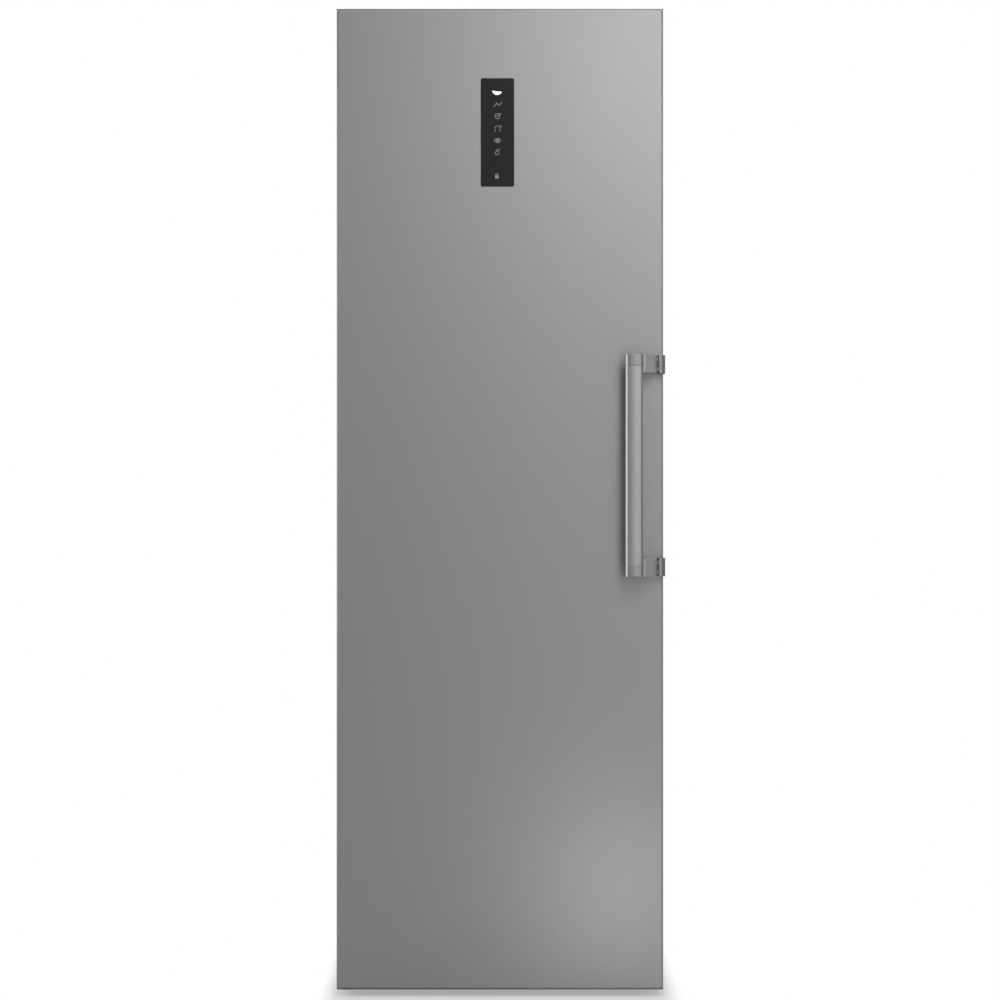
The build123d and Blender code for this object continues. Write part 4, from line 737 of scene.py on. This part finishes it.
thick = grow("pipes_thick", path_mesh(discharge, liquid, suction), tube_tree, Bend=0.012,
             Radius=pipe_radius, Sides=14, Steps=6, Material=copper)
thin = grow("pipes_thin", path_mesh(capillary), tube_tree, Bend=0.01, Radius=capillary_radius, Sides=10,
            Steps=6, Material=copper)

# %% [markdown]
# Round pieces such as the filter drier, the compressor's pot, rollers, feet and screws are turned: a
# profile of radius and height is carried round an axis. One function closes the ends and serves them
# all.

# %% Turned pieces
def turned(profile, steps=32, shape=None):
    """A closed mesh turned about the Z axis from (radius, height) points that start and end at radius 0."""
    work = bmesh.new()
    first = work.verts.new((0, 0, profile[0][1]))
    last = work.verts.new((0, 0, profile[-1][1]))
    rings = []
    for radius, height in profile[1:-1]:
        circle = []
        for step in range(steps):
            angle = 2 * pi * step / steps
            arm = radius * (shape(step, radius) if shape else 1)
            circle.append(work.verts.new((arm * cos(angle), arm * sin(angle), height)))
        rings.append(circle)
    for step in range(steps):
        after = (step + 1) % steps
        work.faces.new((first, rings[0][after], rings[0][step]))
        work.faces.new((last, rings[-1][step], rings[-1][after]))
        for lower, upper in zip(rings, rings[1:]):
            work.faces.new((lower[step], lower[after], upper[after], upper[step]))
    bmesh.ops.recalc_face_normals(work, faces=work.faces)
    mesh = as_mesh("turned", work)
    mesh.shade_smooth()
    return mesh


def rounded_rim(radius, low, high, edge, steps=4):
    """Points of a drum's side with its two rims rounded off."""
    angles = [pi / 2 * step / steps for step in range(steps + 1)]
    lower = [(radius - edge + edge * sin(angle), low + edge - edge * cos(angle)) for angle in angles]
    upper = [(radius - edge + edge * cos(angle), high - edge + edge * sin(angle)) for angle in angles]
    return lower + upper


def put(mesh, place, turn=None):
    """Turn a mesh and move it to its place."""
    mesh.transform(Matrix.Translation(Vector(place)) @ (turn.to_4x4() if turn else Matrix()))
    return mesh


print("round pieces can be turned")

# %% [markdown]
# The filter drier is a small copper drum that hangs in the liquid line. It is joined with the pipes to
# one piece.

# %% Filter drier
drier = turned([(0, drier_low)] + rounded_rim(0.01, drier_low, drier_high, 0.004) + [(0, drier_high)], 24)
stand_for(join("copper_pipes", thick, thin, as_object("drier", put(drier, (drop_x, coil_y, 0)), copper)),
          "refrigerant_pipes")
print("pipes with the filter drier")

# %% [markdown]
# The compressor is a welded steel pot: a deep drawn cup, a domed lid and a weld seam where they meet.
# The profile keeps inside the plain solid that it stands for, and the foot plate is cut from sheet
# with round corners.

# %% Compressor
pot_foot, pot_top = pot_low.z, pot_high.z
cup_radius = pot_radius - 0.002
seam_radius = pot_radius - 0.0003
lid_radius = cup_radius - 0.001
seam_z = pot_foot + 0.07
dome_rise = 0.03
shoulder = pot_top - dome_rise
cup = [(0, pot_foot + 0.001), (cup_radius - 0.012, pot_foot + 0.001), (cup_radius - 0.004, pot_foot + 0.004),
       (cup_radius, pot_foot + 0.012), (cup_radius, seam_z - 0.004)]
seam = [(seam_radius, seam_z - 0.003), (seam_radius, seam_z + 0.002), (lid_radius, seam_z + 0.003)]
dome = [(lid_radius * cos(radians(6 * step)) ** 0.5, shoulder + dome_rise * sin(radians(6 * step)))
        for step in range(1, 15)]
profile = cup + seam + [(lid_radius, shoulder)] + dome + [(0.02, pot_top), (0, pot_top)]
pot = as_object("pot", put(turned(profile, 56), (pot_x, pot_y, 0)), black_enamel)
plate_wide, plate_deep, plate_thick = pot_high.x - pot_low.x, 0.136, 0.0025
work = bmesh.new()
bmesh.ops.create_cube(work, size=1.0, matrix=Matrix.Translation((pot_x, pot_y, pot_foot + plate_thick / 2))
                      @ Matrix.Diagonal((plate_wide, plate_deep, plate_thick, 1)))
corners = [edge for edge in work.edges if abs(edge.verts[0].co.z - edge.verts[1].co.z) > 0.001]
bmesh.ops.bevel(work, geom=corners, offset=0.012, segments=6, affect="EDGES")
stand_for(join("compressor_pot", pot, keep("plate", work, black_enamel)), "compressor")
print("compressor", round(1000 * (pot_top - pot_foot)), "mm tall")

# %% [markdown]
# Bottles lie in a rack of welded wire. Two cross wires dip in five arcs, and straight wires run over
# them from front to back. Every wire is one path for the tube tree.

# %% Bottle rack
rack_low, rack_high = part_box("bottle_rack")
rack_wire = 0.0025
rack_z = 0.6425
rack_side = rack_high.x - rack_wire
bays = 5
bay = 2 * (rack_high.x - 0.0137) / bays
dip = 0.043
dip_lean = 50
crest = rack_z + dip * cos(radians(dip_lean))
seat = dip - 2 * rack_wire
seat_lean = radians(37.5)
inset = 0.04
cross = [(-rack_side, rack_z)]
rods = []
for index in range(bays):
    bay_x = (index - (bays - 1) / 2) * bay
    for step in range(-8, 9):
        angle = radians(dip_lean * step / 8)
        cross.append((bay_x + dip * sin(angle), crest - dip * cos(angle)))
    for angle in (-seat_lean, seat_lean):
        rods.append((bay_x + seat * sin(angle), crest - seat * cos(angle)))
cross.append((rack_side, rack_z))
rods += [(-rack_side, rack_z), (rack_side, rack_z)]
paths = [[(x, y, z) for x, z in cross] for y in (rack_low.y + inset, rack_high.y - inset)]
paths += [[(x, rack_low.y, z), (x, rack_high.y, z)] for x, z in rods]
rack = grow("wire_rack", path_mesh(*paths), tube_tree, Bend=0.0, Radius=rack_wire, Sides=12, Steps=1,
            Material=chrome)
stand_for(rack, "bottle_rack")
print(len(paths), "wires in the rack")

# %% [markdown]
# The door's magnetic seal is a soft grey extrusion: a barbed foot in the liner's groove, a narrow
# bellows and a flat chamber that holds the magnet. It is welded at mitred corners. Each point of the
# profile, in millimetres, becomes one loop round the door, so the corners are exact mitres.

# %% Door seal
seal_low, seal_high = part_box("door_gasket")
seal_half = 0.01075
seal_x = seal_high.x - seal_half
section = [(-4.4, 0.0), (-3.6, 0.0), (3.6, 0.0), (4.4, 0.0), (4.4, 0.9), (2.6, 1.6), (2.2, 2.6), (4.2, 3.6),
           (9.4, 4.2), (10.5, 4.9), (10.7, 5.8), (10.7, 9.4), (10.2, 10.4), (9.4, 10.6), (-9.4, 10.6),
           (-10.2, 10.4), (-10.7, 9.4), (-10.7, 7.4), (-9.2, 6.6), (-10.4, 5.8), (-9.0, 4.8), (-4.2, 3.8),
           (-2.2, 2.6), (-2.6, 1.6), (-4.4, 0.9)]
work = bmesh.new()
loops = []
for aside, ahead in section:
    x = seal_x + aside / 1000
    y = seal_low.y + ahead / 1000
    bottom = seal_low.z + seal_half - aside / 1000
    top = seal_high.z - seal_half + aside / 1000
    loops.append([work.verts.new(corner) for corner in
                  ((-x, y, bottom), (x, y, bottom), (x, y, top), (-x, y, top))])
for first, second in zip(loops, loops[1:] + loops[:1]):
    for corner in range(4):
        after = (corner + 1) % 4
        work.faces.new((first[corner], first[after], second[after], second[corner]))
bmesh.ops.recalc_face_normals(work, faces=work.faces)
stand_for(keep("magnetic_seal", work, seal_rubber), "door_gasket")
print(len(section), "points in the seal's section")

# %% [markdown]
# Copies that stand round an axis, such as fan blades, come from a tree that turns each copy by its
# share of a full circle.

# %% Geometry tree: copies round an axis
round_tree, ends, out = new_tree(
    "copies_round_axis", [("Count", "Int", 7), ("Axis", "Vector", None), ("Centre", "Vector", None)])
centres = add(round_tree, "GeometryNodePoints", {"Count": ends.outputs["Count"],
                                                 "Position": ends.outputs["Centre"]})
fraction = reckon(round_tree, "DIVIDE", add(round_tree, "GeometryNodeInputIndex"), ends.outputs["Count"])
turned_by = reckon(round_tree, "MULTIPLY", fraction, 2 * pi)
about_axis = add(round_tree, "ShaderNodeVectorMath", {0: ends.outputs["Axis"], "Scale": turned_by},
                 operation="SCALE")
end_tree(round_tree, ends, out, add(round_tree, "GeometryNodeInstanceOnPoints", {
    "Points": centres, "Instance": ends.outputs["Geometry"], "Rotation": about_axis}))

# %% [markdown]
# The fan has seven twisted blades. A blade is a small grid whose pitch grows flatter towards the tip,
# with a curve along its chord, and the tree repeats it round a turned hub.

# %% Fan
fan_low, fan_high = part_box("fan_rotor")
fan_y, fan_z = (fan_low.y + fan_high.y) / 2, 1.59
fan_depth = fan_high.y - fan_low.y
hub_radius = 0.014
blade_root, blade_tip = hub_radius - 0.001, 0.0468
blade_thick, blade_curve = 0.0011, 0.0011
across, along = 6, 8
work = bmesh.new()
grid = []
for step in range(along + 1):
    share = step / along
    radius = blade_root + (blade_tip - hub_radius + 0.001) * share
    pitch = radians(42 - 16 * share)
    chord = 0.009 + 0.012 * share
    row = []
    for cell in range(across + 1):
        place = (cell / across - 0.5) * chord
        camber = blade_curve * (1 - (2 * cell / across - 1) ** 2)
        row.append(work.verts.new((radius, place * sin(pitch) * 0.62 + camber, place * cos(pitch))))
    grid.append(row)
for lower, upper in zip(grid, grid[1:]):
    for cell in range(across):
        work.faces.new((lower[cell], lower[cell + 1], upper[cell + 1], upper[cell]))
work.normal_update()
bmesh.ops.solidify(work, geom=work.faces, thickness=blade_thick)
bmesh.ops.recalc_face_normals(work, faces=work.faces)
blade = as_mesh("fan_blade", work)
blade.shade_smooth()
blades = grow("fan_blades", blade, round_tree, Count=7, Axis=(0, 1, 0), Centre=(0, fan_y, fan_z),
              Material=black_plastic)
hub = turned([(0, 0)] + rounded_rim(hub_radius, 0, fan_depth, 0.002) + [(0, fan_depth)], 32)
put(hub, (0, fan_high.y, fan_z), Matrix.Rotation(radians(90), 3, "X"))
stand_for(join("fan_wheel", blades, as_object("fan_hub", hub, black_plastic)), "fan_rotor")

# %% [markdown]
# A levelling foot is a fluted plastic disc on a threaded steel stud. The disc's outline waves with the
# turning function's shape, and the thread is a close row of small rings.

# %% Feet
def flute(step, radius):
    """A shallow wave round the foot's disc."""
    return 1 - (0.05 if radius > 0.016 and step % 4 in (1, 2) else 0)


thread_from = 0.012
thread_spare = 0.0135
thread_pitch = 0.00125
for side in ("left", "right"):
    node = f"front_foot_{side}"
    low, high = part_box(node)
    foot_x, foot_y = (low.x + high.x) / 2, (low.y + high.y) / 2
    disc = [(0, 0.0)] + rounded_rim(0.0193, 0.0, 0.010, 0.0015) + [(0.008, 0.0112), (0, 0.0112)]
    pad = as_object(f"foot_pad_{side}", put(turned(disc, 48, flute), (foot_x, foot_y, 0)), black_plastic)
    shank = [(0, 0.009), (0.0043, 0.009), (0.0043, high.z - 0.001), (0.0036, high.z), (0, high.z)]
    core = as_object("stud", put(turned(shank, 20), (foot_x, foot_y, 0)), bracket_steel)
    bead = turned([(0, 0.0), (0.0042, 0.0), (0.0049, 0.0006), (0.0042, 0.0012), (0, 0.0012)], 20)
    thread = grow(f"thread_{side}", put(bead, (foot_x, foot_y, thread_from)), row_tree,
                  Count=int((high.z - thread_spare) / thread_pitch), Step=(0, 0, thread_pitch),
                  Aside=(0, 0, 0), Material=bracket_steel)
    settle(join(f"foot_stud_{side}", core, thread), body_of[node], "bracket_steel")
    stand_for(pad, node)
print("two feet")

# %% [markdown]
# At the back the appliance rolls on two hard rollers on one axle. They are turned about a line that
# runs from side to side.

# %% Rollers
roll_low, roll_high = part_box("rear_rollers")
roll_y = (roll_low.y + roll_high.y) / 2
roll_radius = (roll_high.z - roll_low.z) / 2
outer = roll_high.x
inner = outer - 0.018
axle_radius = 0.00285
axle_end = inner + 0.002
sideways = Matrix.Rotation(radians(90), 3, "Y")
web = [(0, inner + 0.003), (0.007, inner + 0.003), (0.008, inner), (0.012, inner)]
rim = rounded_rim(roll_radius, inner, outer, 0.002)
hubcap = [(0.012, outer), (0.011, outer - 0.002), (0.006, outer - 0.002), (0.005, outer), (0, outer)]
wheels = []
for side in (-1, 1):
    wheel = turned(web + rim + hubcap, 36)
    if side < 0:
        wheel.transform(Matrix.Diagonal((1, 1, -1, 1)))
        wheel.flip_normals()
    wheels.append(as_object("roller", put(wheel, (0, roll_y, roll_radius), sideways), black_plastic))
stand_for(join("roller_pair", *wheels), "rear_rollers")
axle = turned([(0, -axle_end), (axle_radius, -axle_end), (axle_radius, axle_end), (0, axle_end)], 20)
settle(as_object("roller_axle", put(axle, (0, roll_y, roll_radius), sideways), bracket_steel), "rollers",
       "bracket_steel")
print("rollers", round(2000 * roll_radius), "mm across")

# %% [markdown]
# Screws are one small mesh, placed wherever a point says. Each point carries the direction that its
# screw faces, and the tree aligns the copies with it.

# %% Geometry tree: copies at points
point_tree, ends, out = new_tree("copies_at_points", [("Piece", "Object", None)])
sample_piece = add(point_tree, "GeometryNodeObjectInfo", {"Object": ends.outputs["Piece"]})
facing = add(point_tree, "GeometryNodeInputNamedAttribute", {"Name": "facing"}, data_type="FLOAT_VECTOR")
aligned = add(point_tree, "FunctionNodeAlignRotationToVector", {"Vector": facing}, axis="Z")
end_tree(point_tree, ends, out, add(point_tree, "GeometryNodeInstanceOnPoints", {
    "Points": ends.outputs["Geometry"], "Instance": sample_piece.outputs["Geometry"], "Rotation": aligned}))

# %% [markdown]
# Two screws hold each hinge bracket, and two each handle base. They have pan heads with a cross
# recess: the shape of the turning pulls the recess in between the arms of the cross.

# %% Screws
def recess(step, radius):
    """Narrow a screw's recess everywhere but at the four arms of its cross."""
    return 1.0 if radius > 0.0024 or step % 4 == 0 else 0.45


def screw_set(name, node, places, facings, shank):
    """Pan head screws at the given places, facing one way each, that stand for a node."""
    head = [(0, 0.0016), (0.0016, 0.0016), (0.0023, 0.003), (0.0025, 0.003), (0.0036, 0.0027),
            (0.0046, 0.0017), (0.005, 0.0006), (0.005, 0), (0.0024, 0), (0.0024, -shank), (0, -shank)]
    sample = as_object("screw_sample", turned(head, 16, recess))
    mesh = bpy.data.meshes.new("screw_points")
    mesh.from_pydata(places, [], [])
    ways = mesh.attributes.new("facing", "FLOAT_VECTOR", "POINT")
    for index, way in enumerate(facings):
        ways.data[index].vector = way
    made = grow(name, mesh, point_tree, Piece=sample, Material=bracket_steel)
    bpy.data.objects.remove(sample)
    return stand_for(made, node)


low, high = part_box("cabinet_screws")
columns = (low.x + 0.005, high.x - 0.005)
upper_row = [(x, high.y - 0.00433, high.z - 0.003) for x in columns]
lower_row = [(x, low.y + 0.003, low.z + 0.00433) for x in columns]
screw_set("bracket_screws", "cabinet_screws", upper_row + lower_row,
          [(0, 0, 1)] * 2 + [(0, -1, 0)] * 2, 0.0035)
low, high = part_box("handle_screws")
heights = (low.z + 0.005, low.z + 0.027, high.z - 0.027, high.z - 0.005)
screw_set("base_screws", "handle_screws", [(high.x - 0.003, (low.y + high.y) / 2, z) for z in heights],
          [(1, 0, 0)] * 4, 0.024)

# %% [markdown]
# The control strip shows a column of small signs. One is lit and the others are printed in a dim grey.
# They are too small in the photograph to read, so they are plain generic signs of the same sizes: each
# is a handful of flat bars, rings and ovals a tenth of a millimetre thick. Their sizes are given in
# millimetres, and their levels as rows of the photograph.

# %% Drawing signs
strip_low, strip_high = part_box("control_panel")
sign_x = (strip_low.x + strip_high.x) / 2
sign_y = strip_low.y
sign_depth = 0.0001
door_top, door_top_row = 1.8, 8.6
work = bmesh.new()


def spots(points, centre, lean=0.0):
    """Corners on the strip's face for points in millimetres, leaned and set about a sign's centre."""
    turn = radians(lean)
    aside, row = centre
    level = door_top - (row - door_top_row) * picture_height / 1000
    return [work.verts.new((sign_x + (aside + a * cos(turn) - b * sin(turn)) / 1000, sign_y,
                            level + (a * sin(turn) + b * cos(turn)) / 1000)) for a, b in points]


def bar(centre, a, b, wide, tall, lean=0.0):
    """A flat bar, its middle at (a, b) from the sign's centre."""
    turn = radians(lean)
    corners = [(-wide / 2, -tall / 2), (wide / 2, -tall / 2), (wide / 2, tall / 2), (-wide / 2, tall / 2)]
    work.faces.new(spots([(a + c * cos(turn) - d * sin(turn), b + c * sin(turn) + d * cos(turn))
                          for c, d in corners], centre))


def loop(centre, a, b, radius, line, start=0, stop=360, steps=24):
    """A flat ring, or a part of one, its middle at (a, b) from the sign's centre."""
    inside = spots(arc((a, b), radius - line, start, stop, steps), centre)
    outside = spots(arc((a, b), radius, start, stop, steps), centre)
    for step in range(steps):
        work.faces.new((inside[step], outside[step], outside[step + 1], inside[step + 1]))


def keep_signs(name, material):
    """Thicken the signs drawn so far, keep them as one piece and start afresh."""
    work.normal_update()
    bmesh.ops.solidify(work, geom=work.faces, thickness=sign_depth)
    front = min(vertex.co.y for vertex in work.verts)
    bmesh.ops.translate(work, verts=work.verts, vec=(0, sign_y - sign_depth - front, 0))
    bmesh.ops.recalc_face_normals(work, faces=work.faces)
    mesh = bpy.data.meshes.new(name)
    work.to_mesh(mesh)
    work.clear()
    return settle(as_object(name, mesh, material), "door", slot_of["control_panel"])


print("signs can be drawn")

# %% [markdown]
# The lit sign at the top is a wide crescent. Below it stand six printed signs, drawn with one width of
# line: a zigzag, a ring with a stroke, a hooked arch, an oval eye, a ring with a stem and a small lock.

# %% Signs
span = [step / 8 for step in range(-8, 9)]
lower_edge = [(8.6 * t, -4.6 + 5.2 * t ** 2) for t in span]
upper_edge = [(8.6 * t, 1.2 + 1.0 * t ** 2 - 0.9 * t ** 8) for t in span[::-1]]
work.faces.new(spots(lower_edge + upper_edge, (-1.0, 92.3), -7))
keep_signs("lit_sign", lamp_white)
line = 1.2
sign = (0.4, 104.5)
bar(sign, -4.6, -1.2, 8.2, line, 50)
bar(sign, 0.4, 0.2, 8.6, line, -44)
bar(sign, 5.0, 1.0, 7.6, line, 50)
sign = (0.4, 116.0)
loop(sign, -0.4, -0.4, 5.2, line)
bar(sign, 2.4, 1.8, 11.0, line, 34)
sign = (0.4, 128.5)
loop(sign, 0, -1.4, 6.6, line, 20, 160, 14)
bar(sign, -4.4, -3.4, line, 5.0, -18)
bar(sign, 4.2, -3.4, line, 5.0)
bar(sign, 5.4, 3.6, 5.4, line, 30)
sign = (0.4, 140.6)
loop(sign, 0, -3.8, 8.0, line, 36, 144, 14)
loop(sign, 0, 3.8, 8.0, line, 216, 324, 14)
loop(sign, 0, 0, 2.6, 2.5, 0, 360, 16)
sign = (-0.2, 152.2)
loop(sign, -0.4, -1.2, 4.0, line)
bar(sign, 1.6, 3.2, 8.0, line, 42)
bar(sign, -1.6, 3.8, line, 5.0, 14)
sign = (-1.0, 175.8)
bar(sign, 0, -2.2, 7.0, 5.0)
loop(sign, 0, 1.0, 3.2, line, 0, 180, 14)
keep_signs("printed_signs", symbol_grey)
work.free()
print("seven signs on the strip")

# %% [markdown]
# A pale world fills every side. What the camera and reflections see behind the object is plain white,
# while the light that the world gives the object stays at a plain level.

# %% World
world_level = 0.3
world = bpy.data.worlds.new("studio")
bpy.context.scene.world = world
world.use_nodes = True
tree = world.node_tree
rays = add(tree, "ShaderNodeLightPath")
ahead = add(tree, "ShaderNodeSeparateXYZ", {0: add(tree, "ShaderNodeTexCoord").outputs["Generated"]})
behind = add(tree, "ShaderNodeMapRange", {"Value": ahead.outputs["Y"], "From Min": -0.1, "From Max": 0.3})
mirrored = reckon(tree, "MULTIPLY", rays.outputs["Is Glossy Ray"], behind)
direct = reckon(tree, "MAXIMUM", rays.outputs["Is Camera Ray"], rays.outputs["Is Transmission Ray"])
seen = reckon(tree, "MAXIMUM", direct, mirrored)
strength = add(tree, "ShaderNodeMapRange", {"Value": seen, "To Min": world_level, "To Max": 1.0})
feed(tree, tree.nodes["Background"], {"Strength": strength, "Color": (1.0, 1.0, 1.0, 1.0)})
print("world level", world_level)

# %% [markdown]
# The light is that of a plain studio. Soft lamps above and to the right give the door its slow change from
# dark low at the left to light high at the right, and throw the handle's shadow down to the left. A small
# one near the floor makes the pale patch low at the right, and a strip at the left lights the line along the
# handle's edge, which the brighter metal there, a painted highlight, strengthens. Two more light the sides
# and the back, which other views show.

# %% Lamps
def soft_lamp(name, place, aim, size, power):
    """A soft lamp at a place, turned towards a point and unseen by the camera."""
    data = bpy.data.lights.new(name, "AREA")
    data.shape = "RECTANGLE"
    data.size, data.size_y = size
    data.energy = power
    lamp = bpy.data.objects.new(name, data)
    lamp.location = place
    lamp.visible_camera = False
    lamp.rotation_euler = (Vector(aim) - Vector(place)).to_track_quat("-Z", "Y").to_euler()
    bpy.context.scene.collection.objects.link(lamp)


door_middle = (0.0, -0.3, 1.0)
back_middle = (0, 0.2, 0.8)
soft_lamp("key_high", (0.59, -2.5, 2.9), door_middle, (0.6, 0.6), 14.0)
soft_lamp("key_near", (0.43, -1.55, 2.0), door_middle, (0.35, 0.35), 2.0)
soft_lamp("right_front", (0.8, -2.2, 1.9), door_middle, (0.8, 1.0), 7.2)
soft_lamp("low_front", (0.7, -2.4, 0.7), door_middle, (0.6, 1.2), 5.3)
soft_lamp("low_near", (0.25, -0.8, 0.12), (0.19, -0.3, 0.1), (0.08, 0.2), 0.36)
soft_lamp("left_strip", (-1.6, -1.0, 1.1), door_middle, (0.3, 1.6), 8.0)
soft_lamp("left_back", (-1.9, 2.0, 1.6), back_middle, (1.4, 1.8), 20.0)
soft_lamp("right_back", (1.8, 2.2, 1.8), back_middle, (1.4, 1.8), 18.0)
print(len(bpy.data.lights), "lamps")

# %% [markdown]
# The floor is pale and keeps the object's shadow. Close to the object's footprint it is a plain diffuse
# floor, and further out it turns into the same white as the background, so that no horizon shows. The
# mask is the distance from the box of the model on the floor, and grows faster at the sides, where the
# photograph shows hardly any shadow.

# %% Floor
floor_material = bpy.data.materials.new("studio_floor")
floor_material.use_nodes = True
tree = floor_material.node_tree
tree.nodes.clear()
half_size = (cad_box[1] - cad_box[0]) / 2
footprint = (cad_box[1] + cad_box[0]) / 2
from_middle = add(tree, "ShaderNodeVectorMath", {0: add(tree, "ShaderNodeTexCoord").outputs["Object"],
                                                 1: (footprint.x, footprint.y, 0.0)}, operation="SUBTRACT")
apart = add(tree, "ShaderNodeVectorMath", {0: from_middle}, operation="ABSOLUTE")
outside = add(tree, "ShaderNodeVectorMath", {0: apart, 1: (half_size.x, half_size.y, 0.0)},
              operation="SUBTRACT")
uneven = add(tree, "ShaderNodeVectorMath", {0: outside, 1: (2.4, 1.0, 1.0)}, operation="MULTIPLY")
beyond = add(tree, "ShaderNodeVectorMath", {0: uneven}, operation="MAXIMUM")
distance = add(tree, "ShaderNodeVectorMath", {0: beyond}, operation="LENGTH")
far = add(tree, "ShaderNodeMapRange", {"Value": distance.outputs["Value"], "From Min": -0.02,
                                       "From Max": 0.09, "To Min": 0.3, "To Max": 1.0},
          interpolation_type="SMOOTHSTEP")
rays = add(tree, "ShaderNodeLightPath")
seen = reckon(tree, "MAXIMUM", rays.outputs["Is Camera Ray"], rays.outputs["Is Transmission Ray"])
white = reckon(tree, "MULTIPLY", far, seen)
pale = add(tree, "ShaderNodeBsdfDiffuse", {"Color": (0.86, 0.86, 0.86, 1.0)})
glow = add(tree, "ShaderNodeEmission", {"Color": (1.0, 1.0, 1.0, 1.0), "Strength": 1.0})
mixed = add(tree, "ShaderNodeMixShader", {0: white, 1: pale, 2: glow})
add(tree, "ShaderNodeOutputMaterial", {"Surface": mixed})
bpy.ops.mesh.primitive_plane_add(size=24.0)
floor = bpy.context.object
floor.name = "studio_floor"
floor.data.materials.append(floor_material)
print("floor is in place")

# %% [markdown]
# The standard view shows colours about as they are written, with no film look over them.

# %% Colour settings
bpy.context.scene.view_settings.view_transform = "Standard"
print("view", bpy.context.scene.view_settings.view_transform)
